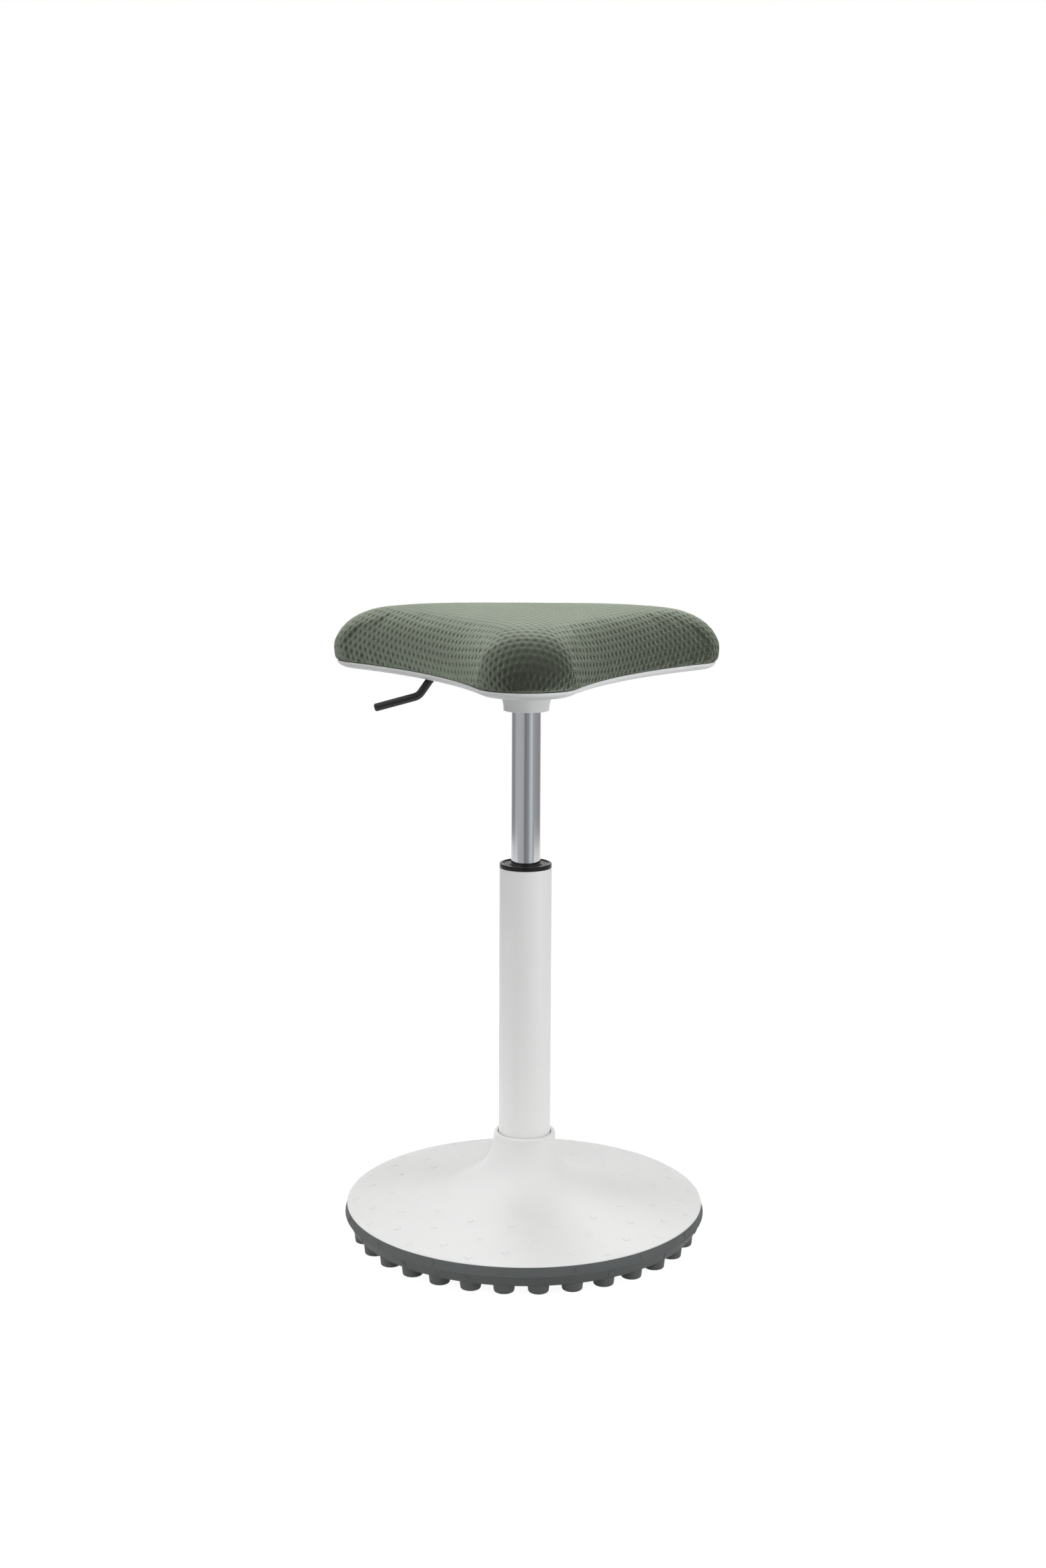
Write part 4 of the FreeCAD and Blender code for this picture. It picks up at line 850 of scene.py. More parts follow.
@dataclass
class BaseFoot(SubAssembly):
    """Rubber sole and white cover."""

    sizes: BaseSizes = field(default_factory=BaseSizes)

    def build(self) -> None:
        """Build and dress both pieces."""
        self.build_sole()
        self.build_cover()

    def sole_profile(self) -> list[Point]:
        """Closed outline of the sole's web and rim.

        Returns:
            Radius and height of each point.
        """
        s = self.sizes
        line = s.line_height
        foot = (166.0, s.stud_height)
        lean = (s.edge_radius - s.shoulder[0]) / (line - s.shoulder[1])
        return ([(0.02, s.stud_height), foot] + arc(foot, s.shoulder, 4.0, Side.RIGHT, 4) + [
            (s.edge_radius - lean * 0.7, line - 0.7),
            (s.edge_radius + s.line_rise, line - 0.3),
            (s.edge_radius + s.line_rise, line + 0.3),
            (s.edge_radius - 0.05, line + 0.7),
            (s.rim_radius + 0.12, s.rim_height - 0.6),
            (s.rim_radius - 0.35, s.rim_height - 0.05),
            (s.rim_radius - 2.0, s.rim_height - 0.05),
            (s.rim_radius - 2.0, 25.0),
            (166.8, 25.0),
            (166.8, s.web_top),
            (0.02, s.web_top),
        ])

    def build_sole(self) -> None:
        """Sole with its studs, centre pad and rim nubs."""
        s = self.sizes
        maker = MeshMaker()
        maker.add_turned(self.sole_profile(), 192, closed=True)
        root = s.stud_height + 1.0
        side = (s.stud_foot + 0.16, s.stud_edge)
        stud = [(s.stud_root, root), side]
        stud += arc(side, (s.stud_foot - s.stud_edge, 0.0), s.stud_edge, Side.LEFT, 4) + [(0.4, 0.0)]
        maker.add_around(stud, Circle(s.stud_ring, 0.0, s.odd_phase, s.stud_count), 32, cap_end=True)
        pad = [(s.pad_radius, root), (s.pad_radius, s.pad_edge), (s.pad_radius - s.pad_edge, 0.0),
               (0.4, 0.0)]
        maker.add_turned(pad, 96, cap_end=True)
        nub = nub_profile(s.rim_nub_radius, s.rim_nub_rise, s.rim_nub_root)
        ends = ((s.rim_radius, s.rim_height), s.shoulder)
        for height, (radius, level), phase in zip(s.rim_nub_heights, ends, (s.even_phase, s.odd_phase)):
            slope = (s.edge_radius - radius) / (level - s.line_height)
            place = s.edge_radius - slope * (height - s.line_height)
            maker.add_around(nub, Circle(place, height, phase, s.nub_count, (1.0, slope)))
        self.dress(maker.piece("sole_moulding"), Slot.SOLE_RUBBER, Body.BASE, "rubber_sole")

    def cover_profile(self) -> list[Point]:
        """Closed outline of the cover, its outer face first.

        Returns:
            Radius and height of each point.
        """
        s = self.sizes
        wall = s.cover_wall
        lip = s.rim_radius - 2.0
        outer: list[Point] = [(25.9, 92.0), (25.9, 96.4), (26.3, 96.9), (26.9, 97.0), (28.0, 97.0)]
        outer += arc((28.0, 97.0), (30.0, 95.0), 2.0, Side.LEFT, 6)
        outer.append((30.0, 92.0))
        outer += arc((30.0, 92.0), (33.69, 74.08), 45.7, Side.RIGHT, 8)
        outer += arc((33.69, 74.08), (45.39, 57.99), 44.0, Side.RIGHT, 8)
        outer += arc((45.39, 57.99), s.dome[0], 58.0, Side.RIGHT, 12)
        outer += s.dome[1:]
        outer += [(171.4, 29.1), (172.3, 28.5), (172.6, 28.0)]
        inner: list[Point] = [(lip, 28.0), (lip, 25.0), (lip - wall, 25.0), (lip - wall, 28.0)]
        inner += [(130.0, 36.35 - wall), (75.0, 44.1 - wall), (57.9, 46.2), (43.4, 55.7), (31.7, 72.9),
                  (27.0, 92.0)]
        return outer + inner

    def nub_circles(self) -> list[Circle]:
        """The cover's four rings of nubs.

        Returns:
            A circle for each ring.
        """
        s = self.sizes
        circles = []
        for number, radius in enumerate(s.nub_rings):
            for (r1, z1), (r2, z2) in zip(s.dome, s.dome[1:]):
                if r1 <= radius <= r2:
                    slope = (z2 - z1) / (r2 - r1)
                    height = z1 + slope * (radius - r1)
            phase = s.odd_phase if number % 2 else s.even_phase
            circles.append(Circle(radius, height, phase, s.nub_count, (-slope, 1.0)))
        return circles

    def build_cover(self) -> None:
        """Cover with its collar, flare, dome and nubs."""
        s = self.sizes
        maker = MeshMaker()
        maker.add_turned(self.cover_profile(), 192, closed=True)
        for circle in self.nub_circles():
            maker.add_around(nub_profile(s.nub_radius, s.nub_rise, s.nub_root), circle)
        self.dress(maker.piece("cover_moulding"), Slot.COVER_WHITE, Body.BASE, "base_cover")


@dataclass
class ColumnSizes:
    """Sizes of the outer column, its ring and the tube."""

    post_radius: float = 25.0
    post_top: float = 358.4
    post_wall: float = 2.0
    foot_taper: float = 0.55
    foot_top: float = 66.0
    ring_top: float = 362.5
    ring_recess: float = 0.8
    bore: float = 14.06
    guide_radius: float = 23.0
    guide_bottom: float = 270.0
    groove_radii: Point = (20.3, 17.9)
    groove_depth: float = 0.5
    groove_width: float = 0.9
    tube_radius: float = 14.0
    tube_wall: float = 1.5
    tube_bottom: float = 185.0
    tube_top: float = 544.0
    taper_start: float = 511.5
    taper: float = 0.4
    edge: float = 0.8


@dataclass
class Column(SubAssembly):
    """White outer column, the black ring on it and the steel tube."""

    sizes: ColumnSizes = field(default_factory=ColumnSizes)

    def build(self) -> None:
        """Build and dress the three pieces."""
        self.turn("outer_column", self.post_profile(), Slot.POST_WHITE, Body.BASE, "standpipe")
        self.turn("guide_ring", self.ring_profile(), Slot.RING_BLACK, Body.BASE, "guide_bush")
        self.turn("spring_tube", self.tube_profile(), Slot.TUBE_STEEL, Body.SEAT, "pressure_tube")

    def turn(self, name: str, profile: list[Point], slot: Slot, body: Body, node: str) -> None:
        """Turn one closed profile and dress it.

        Args:
            name: Name of the piece.
            profile: Radius and height of each point.
            slot: The piece's finish.
            body: The body it rides on.
            node: CAD node that it stands for.
        """
        maker = MeshMaker()
        maker.add_turned(profile, closed=True)
        self.dress(maker.piece(name), slot, body, node)

    def post_profile(self) -> list[Point]:
        """Outer column with its tapered foot and floor.

        Returns:
            Radius and height of each point.
        """
        s = self.sizes
        outer, top = s.post_radius, s.post_top
        inner = outer - s.post_wall
        foot = inner - s.foot_taper
        return [(4.06, 24.0), (foot, 24.0), (foot, 22.0), (outer - s.foot_taper, 22.0), (outer, s.foot_top),
                (outer, top - 0.7), (outer - 0.15, top - 0.25), (outer - 0.6, top), (inner, top),
                (inner, s.foot_top), (foot, 28.0), (4.06, 28.0)]

    def ring_profile(self) -> list[Point]:
        """Black guide whose flange shows as the ring, with plain grooves on its top.

        Returns:
            Radius and height of each point.
        """
        s = self.sizes
        top = s.ring_top
        floor = top - s.ring_recess
        outer, guide = s.post_radius, s.guide_radius
        profile = [(s.bore, s.guide_bottom), (guide, s.guide_bottom), (guide, s.post_top)]
        profile += [(outer, s.post_top), (outer, top - 1.1)]
        profile += arc((outer, top - 1.1), (outer - 1.1, top), 1.1, Side.RIGHT, 6)
        profile += [(22.5, top), (22.2, floor)]
        half = s.groove_width / 2
        for radius in s.groove_radii:
            profile += [(radius + half, floor), (radius + half * 0.5, floor - s.groove_depth),
                        (radius - half * 0.5, floor - s.groove_depth), (radius - half, floor)]
        return profile + [(16.3, floor), (15.7, top), (15.3, top), (s.bore, top - 1.2)]

    def tube_profile(self) -> list[Point]:
        """Steel tube of the gas spring.

        Returns:
            Radius and height of each point.
        """
        s = self.sizes
        outer, top, bottom = s.tube_radius, s.tube_top, s.tube_bottom
        inner = outer - s.tube_wall
        shoulder = outer - s.taper
        return [(8.0, bottom), (outer - s.edge, bottom), (outer, bottom + s.edge), (outer, s.taper_start),
                (shoulder, top - s.edge), (shoulder - s.edge, top), (5.0, top), (5.0, top - s.tube_wall),
                (shoulder - s.tube_wall, top - s.tube_wall), (inner, s.taper_start),
                (inner, bottom + s.tube_wall), (8.0, bottom + s.tube_wall)]


@dataclass
class SeatOutline:
    """Three round lobes joined by hollow flanks, as tangent arcs."""

    tip: float = 206.5
    flank: float = 108.0
    lobe: float = 44.5
    front: float = -90.0
    points_per_lobe: int = 80
    angles: list[float] = field(default_factory=list)

    def __post_init__(self) -> None:
        """Spread the azimuths evenly along the outline's length."""
        fine = [math.radians(120.0 * step / 3000 - 60.0) for step in range(3001)]
        places = [Vector((math.cos(angle), math.sin(angle))) * self.radius(angle) for angle in fine]
        walked = [0.0]
        for before, after in zip(places, places[1:]):
            walked.append(walked[-1] + (after - before).length)
        one_lobe = []
        number = 0
        for step in range(self.points_per_lobe):
            wanted = walked[-1] * step / self.points_per_lobe
            while walked[number] < wanted:
                number += 1
            one_lobe.append(fine[number])
        self.angles = [angle + math.radians(self.front + 120.0 * turn) for turn in range(3)
                       for angle in one_lobe]

    def radius(self, offset: float, tip_inset: float = 0.0, flank_inset: float = 0.0,
               lobe_inset: float = 0.0) -> float:
        """Radius of the outline, drawn in by insets, at an angle from the nearest lobe's middle.

        Args:
            offset: Angle from the lobe's middle, in radians.
            tip_inset: How far the lobes' tips are drawn in.
            flank_inset: The same for the flanks.
            lobe_inset: How much smaller the lobes' radius is.

        Returns:
            The radius.
        """
        offset = abs(offset)
        tip = self.tip - tip_inset
        flank = self.flank - flank_inset
        lobe = self.lobe - lobe_inset
        centre = tip - lobe
        flank = min(flank, centre / 2 + lobe - 0.4)
        hollow = (centre ** 2 + flank ** 2 - centre * flank - lobe ** 2) / (centre + 2 * lobe - 2 * flank)
        away = flank + hollow
        lobe_centre = Vector((centre, 0.0))
        flank_centre = Vector((math.cos(math.pi / 3), math.sin(math.pi / 3))) * away
        touch = lobe_centre + (flank_centre - lobe_centre).normalized() * lobe
        if offset < math.atan2(touch.y, touch.x):
            return centre * math.cos(offset) + math.sqrt(lobe ** 2 - (centre * math.sin(offset)) ** 2)
        angle = math.pi / 3 - offset
        return away * math.cos(angle) - math.sqrt(hollow ** 2 - (away * math.sin(angle)) ** 2)

    def from_lobe(self, angle: float) -> float:
        """Angle of an azimuth from the nearest lobe's middle.

        Args:
            angle: The azimuth, in radians.

        Returns:
            The angle, with its sign.
        """
        third = math.tau / 3
        offset = (angle - math.radians(self.front)) % third
        return offset if offset <= third / 2 else offset - third

    def ring(self, height: float, tip_inset: float, flank_inset: Optional[float] = None,
             lobe_inset: Optional[float] = None) -> list[Vector]:
        """Ring of points at a height.

        Args:
            height: The ring's height.
            tip_inset: How far the lobes' tips are drawn in.
            flank_inset: The same for the flanks; the tip's if left out.
            lobe_inset: How much smaller the lobes' radius is; the tip's inset if left out.

        Returns:
            The points.
        """
        flank_inset = tip_inset if flank_inset is None else flank_inset
        lobe_inset = tip_inset if lobe_inset is None else lobe_inset
        return [spot(self.radius(self.from_lobe(angle), tip_inset, flank_inset, lobe_inset), angle, height)
                for angle in self.angles]

    def circle(self, radius: float, height: float) -> list[Vector]:
        """Round ring with a point at each of the outline's azimuths."""
        return [spot(radius, angle, height) for angle in self.angles]


@dataclass
class ShellSizes:
    """Sizes of the under-shell."""

    line: float = 548.0
    floor: float = 541.0
    edge: float = 14.0
    wall: float = 3.0
    neck_bottom: float = 508.4
    neck_radius: float = 21.6
    waist: Point = (29.5, 528.0)
    foot: Point = (60.0, 541.0)
    slot_bearing: float = 190.0
    slot_span: Point = (80.5, 101.5)
    slot_width: float = 9.6
    screw_ring: float = 150.0
    screw_recess: float = 4.6
    screw_recess_depth: float = 3.4


@dataclass
class SeatShell(SubAssembly):
    """White dish with its neck, under the cushion."""

    outline: SeatOutline
    sizes: ShellSizes = field(default_factory=ShellSizes)

    def edge_insets(self, reach: float, low: float, high: float, steps: int = 9) -> list[Point]:
        """Quarter ellipse of the dish's edge.

        Args:
            reach: Inset at its start.
            low: Height at its start.
            high: Height at its end.
            steps: Number of its chords.

        Returns:
            Inset and height of each point, from the flat up to the rim.
        """
        turns = [math.pi / 2 * step / steps for step in range(steps + 1)]
        return [(reach * (1 - math.sin(turn)), high - (high - low) * math.cos(turn)) for turn in turns]

    def build(self) -> None:
        """Build the shell, cut its slot and screw recesses, and dress it."""
        s = self.sizes
        outline = self.outline
        neck, bottom = s.neck_radius, s.neck_bottom
        throat = (neck, bottom + 2.1)
        outer = [(neck - 0.8, bottom), (neck - 0.2, bottom + 0.3), (neck, bottom + 0.9), throat]
        outer += arc(throat, s.waist, 23.3, Side.LEFT, 10)
        outer += arc(s.waist, s.foot, 52.8, Side.LEFT, 12)
        rings = [outline.circle(*point) for point in outer]
        rings += [outline.ring(height, inset)
                  for inset, height in self.edge_insets(s.edge, s.floor, s.line - 0.5)]
        rings += [outline.ring(s.line - 0.12, 0.12), outline.ring(s.line, 0.5)]
        rings.append(outline.ring(s.line, s.wall))
        inside = self.edge_insets(s.edge - s.wall, s.floor + s.wall, s.line - 0.3, 6)
        rings += [outline.ring(height, s.wall + inset) for inset, height in reversed(inside)]
        inner = [(s.foot[0], s.floor + s.wall), (42.5, 539.8), (s.waist[0] - 2.1, s.waist[1] + 2.1),
                 (20.9, 521.3), (neck - s.wall, throat[1]), (neck - s.wall, bottom)]
        rings += [outline.circle(*point) for point in inner]
        maker = MeshMaker()
        maker.add_rings(rings, closed=True)
        shell = maker.piece("shell_moulding")
        for lobe in range(3):
            angle = math.radians(outline.front + 120.0 * lobe)
            self.cut(shell, self.recess_cutter(spot(s.screw_ring, angle)))
        self.cut(shell, self.slot_cutter())
        self.dress(shell, Slot.SHELL_WHITE, Body.SEAT, "seat_shell")

    def recess_cutter(self, place: Vector) -> Piece:
        """Round cutter of one screw recess.

        Args:
            place: Middle of the recess.

        Returns:
            The cutter.
        """
        s = self.sizes
        bottom, top = s.floor - 1.0, s.floor + s.screw_recess_depth
        maker = MeshMaker()
        maker.add_turned([(0.4, bottom), (s.screw_recess, bottom), (s.screw_recess, top), (0.4, top)], 32,
                         Matrix.Translation(place), cap_end=True)
        maker.faces.append(tuple(reversed(range(32))))
        return maker.piece("recess_cutter")

    def slot_cutter(self) -> Piece:
        """Round-ended cutter of the lever's slot.

        Returns:
            The cutter.
        """
        s = self.sizes
        half = s.slot_width / 2
        start, end = s.slot_span[0] + half, s.slot_span[1] - half
        turn = Matrix.Rotation(math.radians(s.slot_bearing), 4, "Z")
        loop = [Vector((centre, 0.0, 0.0)) + spot(half, math.radians(first + 15.0 * step))
                for centre, first in ((end, -90.0), (start, 90.0)) for step in range(13)]
        maker = MeshMaker()
        maker.add_rings([[turn @ Vector((place.x, place.y, height)) for place in loop]
                         for height in (s.floor - 2, s.floor + 6)], cap_start=True, cap_end=True)
        return maker.piece("slot_cutter")

    def cut(self, piece: Piece, cutter: Piece) -> None:
        """Cut one mesh out of another and remove the cutter.

        Args:
            piece: The piece that is cut.
            cutter: The form that is cut out.
        """
        modifier = piece.modifiers.new("cut", "BOOLEAN")
        modifier.operation = "DIFFERENCE"
        modifier.solver = "EXACT"
        modifier.object = cutter
        apply_modifiers(piece)
        shade(piece.data)
        bpy.data.objects.remove(cutter)


@dataclass
class LeverSizes:
    """Sizes of the bent release rod, in its own upright plane."""

    bearing: float = 190.0
    radius: float = 3.75
    corners: tuple[Point, ...] = ((12.0, 552.5), (81.3, 552.5), (101.9, 523.7), (143.3, 513.2))
    bends: Point = (10.0, 12.0)
    end_round: float = 1.4
    segments: int = 28


@dataclass
class Lever(SubAssembly):
    """Bent black release rod."""

    sizes: LeverSizes = field(default_factory=LeverSizes)

    def route(self) -> list[Vector]:
        """Centre line with its bends as arcs, in the lever's plane.

        Returns:
            The points, each as its reach and its height.
        """
        s = self.sizes
        points = [Vector(corner) for corner in s.corners]
        route = [points[0]]
        for number, bend in zip((1, 2), s.bends):
            before = (points[number - 1] - points[number]).normalized()
            after = (points[number + 1] - points[number]).normalized()
            half = before.angle(after) / 2
            back = bend / math.tan(half)
            first = points[number] + before * back
            last = points[number] + after * back
            cross = before.x * after.y - before.y * after.x
            side = Side.LEFT if cross > 0 else Side.RIGHT
            route.append(first)
            route += [Vector(point) for point in arc(tuple(first), tuple(last), bend, side, 10)]
        route.append(points[-1])
        return route

    def build(self) -> None:
        """Sweep the rod along its route and dress it."""
        s = self.sizes
        route = self.route()
        turn = Matrix.Rotation(math.radians(s.bearing), 4, "Z")
        end = route[-1]
        last_way = (route[-1] - route[-2]).normalized()
        stations = [(point, s.radius) for point in route[:-1]]
        stations += [(end - last_way * s.end_round, s.radius),
                     (end - last_way * s.end_round * 0.4, s.radius - s.end_round * 0.35),
                     (end, s.radius - s.end_round)]
        rings = []
        for number, (point, radius) in enumerate(stations):
            before = stations[max(number - 1, 0)][0]
            after = stations[min(number + 1, len(stations) - 1)][0]
            way = (after - before).normalized()
            up = Vector((-way.y, way.x))
            ring = []
            for step in range(s.segments):
                angle = math.tau * step / s.segments
                flat = point + up * radius * math.cos(angle)
                ring.append(turn @ Vector((flat.x, radius * math.sin(angle), flat.y)))
            rings.append(ring)
        maker = MeshMaker()
        maker.add_rings(rings, cap_start=True, cap_end=True)
        self.dress(maker.piece("lever_rod"), Slot.LEVER_BLACK, Body.LEVER, "release_lever")


@dataclass
class CushionSizes:
    """The cushion's side, its underside round the pan and its crown.

    A row of the side is a height and how far tip, flank and lobe are drawn in there; a row of the
    underside is a height and one inset.
    """

    side: tuple[Row, ...] = (
        (548.3, 1.2, 1.2, 1.2),
        (548.9, -0.2, -0.2, -0.2),
        (551.0, -1.3, -1.3, -1.3),
        (555.0, -2.1, -2.1, -2.1),
        (560.0, -2.4, -2.4, -2.4),
        (567.0, -2.0, -2.0, -1.0),
        (574.0, 1.5, 0.0, 2.2),
        (580.0, 6.0, 2.4, 5.5),
        (586.0, 13.0, 5.5, 10.0),
        (591.0, 22.0, 9.0, 14.0),
        (595.0, 33.0, 13.5, 16.0),
        (598.0, 45.0, 19.0, 16.0),
        (600.5, 66.0, 29.0, 16.0),
        (603.0, 98.0, 44.0, 18.0),
        (605.0, 140.0, 66.0, 24.0),
    )
    under: tuple[Point, ...] = ((569.4, 15.4), (569.4, 13.9), (559.0, 13.9), (548.3, 13.9), (548.3, 7.0))
    crown: float = 606.0
    ring_step: float = 4.4
    crown_step: float = 5.0
    under_step: float = 12.0
    held_below: float = 549.2
    slack: float = 0.6
    pressure: float = 4.0
    extra_cloth: float = 0.03
    frames: int = 20
    swell_limit: float = 1.6
    plain_hem: float = 2.5
    dimple_depth: float = 0.7
    dimple_lift: float = 0.25
    crown_fade: float = 0.65
    gather_pitch: float = 5.6
    gather_depth: float = 0.8
    gather_rise: float = 8.0
    gather_turn: float = 15.0
    gather_spread: float = 6.0


@dataclass
class Cushion(SubAssembly):
    """Knitted cushion on its foam."""

    outline: SeatOutline
    sizes: CushionSizes = field(default_factory=CushionSizes)
    held: list[int] = field(default_factory=list)

    def build(self) -> None:
        """Build the cushion, let its cloth swell, add the knit's relief and dress it."""
        cushion = new_piece("knit_cushion", self.cloth_mesh(), sharp=70.0)
        self.swell(cushion)
        modifier = cushion.modifiers.new("finer", "SUBSURF")
        modifier.levels = modifier.render_levels = 2
        apply_modifiers(cushion)
        self.sink_dimples(cushion.data)
        cushion.data.shade_smooth()
        self.dress(cushion, Slot.KNIT_FABRIC, Body.SEAT, "seat_cover", "seat_foam")

    def smooth_side(self) -> list[Row]:
        """The side's table as a smooth curve with points a few millimetres apart.

        Returns:
            Rows as the table has them.
        """
        rows = [Vector(row) for row in self.sizes.side]
        result = []
        for number in range(len(rows) - 1):
            p1, p2 = rows[number], rows[number + 1]
            p0 = rows[number - 1] if number else p1 * 2 - p2
            p3 = rows[number + 2] if number + 2 < len(rows) else p2 * 2 - p1
            length = math.hypot(p2[0] - p1[0], p2[1] - p1[1])
            steps = max(1, round(length / self.sizes.ring_step))
            for step in range(steps):
                t = step / steps
                point = (p1 * 2 + (p2 - p0) * t + (p0 * 2 - p1 * 5 + p2 * 4 - p3) * t ** 2
                         + (p1 * 3 - p0 - p2 * 3 + p3) * t ** 3) / 2
                result.append(tuple(point))
        result.append(tuple(rows[-1]))
        return result

    def cloth_mesh(self) -> Mesh:
        """Underside with room for the pan, rings up the side and a crown, with the cloth's flat map.

        Returns:
            The mesh.
        """
        s = self.sizes
        outline = self.outline
        rings = [outline.ring(height, inset) for height, inset in s.under]
        rings += [outline.ring(height, tip + s.slack, flank + s.slack, lobe + s.slack)
                  for height, tip, flank, lobe in self.smooth_side()]
        maker = MeshMaker()
        maker.add_rings(rings)
        flat = self.unrolled(rings)
        last = len(maker.vertices) - len(rings[-1])
        self.fill(maker, flat, rings[-1], last, s.crown, s.crown_step, Face.UP)
        self.held = list(range(len(s.under) * len(rings[0])))
        outside = len(maker.vertices)
        self.fill(maker, flat, rings[0], 0, rings[0][0].z, s.under_step, Face.DOWN)
        self.held += range(outside, len(maker.vertices))
        mesh = bpy.data.meshes.new("knit_cushion")
        mesh.from_pydata([tuple(vertex * MM) for vertex in maker.vertices], [], maker.faces)
        cloth = mesh.uv_layers.new(name="cloth")
        for loop in mesh.loops:
            cloth.data[loop.index].uv = flat[loop.vertex_index] * MM
        return mesh

    def unrolled(self, rings: Sequence[Sequence[Vector]]) -> list[Vector]:
        """Lay the cloth flat: the crown as it lies, and the side unrolled outwards from it.

        Args:
            rings: The rings from the underside to the crown.

        Returns:
            The flat place of each vertex, in the rings' order.
        """
        size = len(rings[0])
        flat_rings = [[point.xy.copy() for point in rings[-1]]]
        for below, above in zip(reversed(rings[:-1]), reversed(rings[1:])):
            previous = flat_rings[0]
            placed = []
            for column in range(size):
                along = (above[(column + 1) % size] - above[column - 1]).xy.normalized()
                outwards = Vector((along.y, -along.x))
                step = below[column] - above[column]
                sideways = step.xy.dot(along)
                down = math.sqrt(max(step.length_squared - sideways ** 2, 0.0))
                placed.append(previous[column] + along * sideways + outwards * down)
            flat_rings.insert(0, placed)
        return [point for placed in flat_rings for point in placed]

    def fill(self, maker: MeshMaker, flat: list[Vector], rim: Sequence[Vector], first: int, middle: float,
             step: float, face: Face) -> None:
        """Fill a ring with an even net of triangles, so that the cloth has no seam or large face.

        Args:
            maker: The mesh so far, which holds the ring's points.
            flat: The flat places so far, which get the net's points as well.
            rim: The ring.
            first: Number of the ring's first point in the mesh.
            middle: Height of the net's middle.
            step: Distance between the net's points.
            face: Way that the net faces.
        """
        size = len(rim)
        points = [point.xy for point in rim]
        reach = max(point.length for point in points)
        nearest_rim = KDTree(size)
        for number, point in enumerate(points):
            nearest_rim.insert((point.x, point.y, 0.0), number)
        nearest_rim.balance()
        count = int(reach / step)
        for row in range(-count - 1, count + 2):
            for column in range(-count - 1, count + 2):
                place = Vector(((column + 0.5 * (row % 2)) * step, row * step * NET_ROW))
                _, nearest, distance = nearest_rim.find((place.x, place.y, 0.0))
                if place.length < points[nearest].length and distance > step * NET_CLEARANCE:
                    points.append(place)
        edges = [(number, (number + 1) % size) for number in range(size)]
        places, _, faces, sources, _, _ = delaunay_2d_cdt(points, edges, [], 1, NET_TOLERANCE)
        index: dict[int, int] = {}
        for number, place in enumerate(places):
            origin = sources[number][0] if sources[number] else -1
            if 0 <= origin < size:
                index[number] = first + origin
                continue
            edge_share = min(1.0, place.length / reach)
            height = rim[0].z + (middle - rim[0].z) * (1.0 - edge_share ** 2)
            index[number] = len(maker.vertices)
            maker.vertices.append(Vector((place.x, place.y, height)))
            flat.append(Vector((place.x, place.y)))
        for corners in faces:
            turned = corners if face is Face.UP else tuple(reversed(corners))
            maker.faces.append(tuple(index[number] for number in turned))

    def swell(self, cushion: Piece) -> None:
        """Let pressure swell the cloth between its held hem and a cap on how far a point may move.

        Args:
            cushion: The cushion with its coarse mesh.
        """
        s = self.sizes
        mesh = cushion.data
        held = cushion.vertex_groups.new(name="held")
        hem = [vertex.index for vertex in mesh.vertices if vertex.co.z < s.held_below * MM]
        held.add(self.held + hem, 1.0, "REPLACE")
        modifier = cushion.modifiers.new("swell", "CLOTH")
        modifier.settings.use_pressure = True
        modifier.settings.uniform_pressure_force = s.pressure
        modifier.settings.effector_weights.gravity = 0.0
        modifier.settings.vertex_group_mass = held.name
        modifier.settings.shrink_min = -s.extra_cloth
        modifier.point_cache.frame_start = 1
        modifier.point_cache.frame_end = s.frames
        scene = bpy.context.scene
        for frame in range(1, s.frames + 1):
            scene.frame_set(frame)
        swollen = cushion.evaluated_get(bpy.context.evaluated_depsgraph_get()).data
        places = [vertex.co.copy() for vertex in swollen.vertices]
        scene.frame_set(1)
        cushion.modifiers.clear()
        cushion.vertex_groups.clear()
        furthest = 0.0
        for vertex, place in zip(mesh.vertices, places):
            move = place - vertex.co
            furthest = max(furthest, move.length)
            if move.length > s.swell_limit * MM:
                move = move.normalized() * s.swell_limit * MM
            vertex.co += move
        log.info("knit_cushion: pressure %.1f over %d frames moved the cloth up to %.1f mm before the cap",
                 s.pressure, s.frames, furthest / MM)

    def sink_dimples(self, mesh: Mesh) -> None:
        """Sink the knit's dimples into the mesh itself, so that its outline shows them.

        Args:
            mesh: The cushion's fine mesh.
        """
        s = self.sizes
        places = read_rows(mesh.vertices, "co", 3)
        normals = read_rows(mesh.vertex_normals, "vector", 3)
        corners = np.empty(len(mesh.loops), dtype=np.int64)
        mesh.loops.foreach_get("vertex_index", corners)
        flat = np.zeros((len(mesh.vertices), 2))
        flat[corners] = read_rows(mesh.uv_layers["cloth"].uv, "vector", 2)
        total = sum(np.cos(flat @ np.array(turns) * math.tau) for turns in DIMPLE_WAVES)
        share = np.clip((total - DIMPLE_LIP) / (DIMPLE_INSIDE - DIMPLE_LIP), 0.0, 1.0)
        sunk = share * share * (3.0 - 2.0 * share)
        rise = places[:, 2] / MM - s.side[0][0]
        above_hem = np.clip(rise / s.plain_hem, 0.0, 1.0)
        taut = 1.0 - s.crown_fade * np.clip(normals[:, 2], 0.0, 1.0) ** 2
        relief = (s.dimple_lift - sunk) * above_hem * taut * s.dimple_depth
        relief -= self.gathers(places / MM, rise) * s.gather_depth
        places += normals * (relief * MM)[:, None]
        mesh.vertices.foreach_set("co", places.ravel())
        mesh.update()

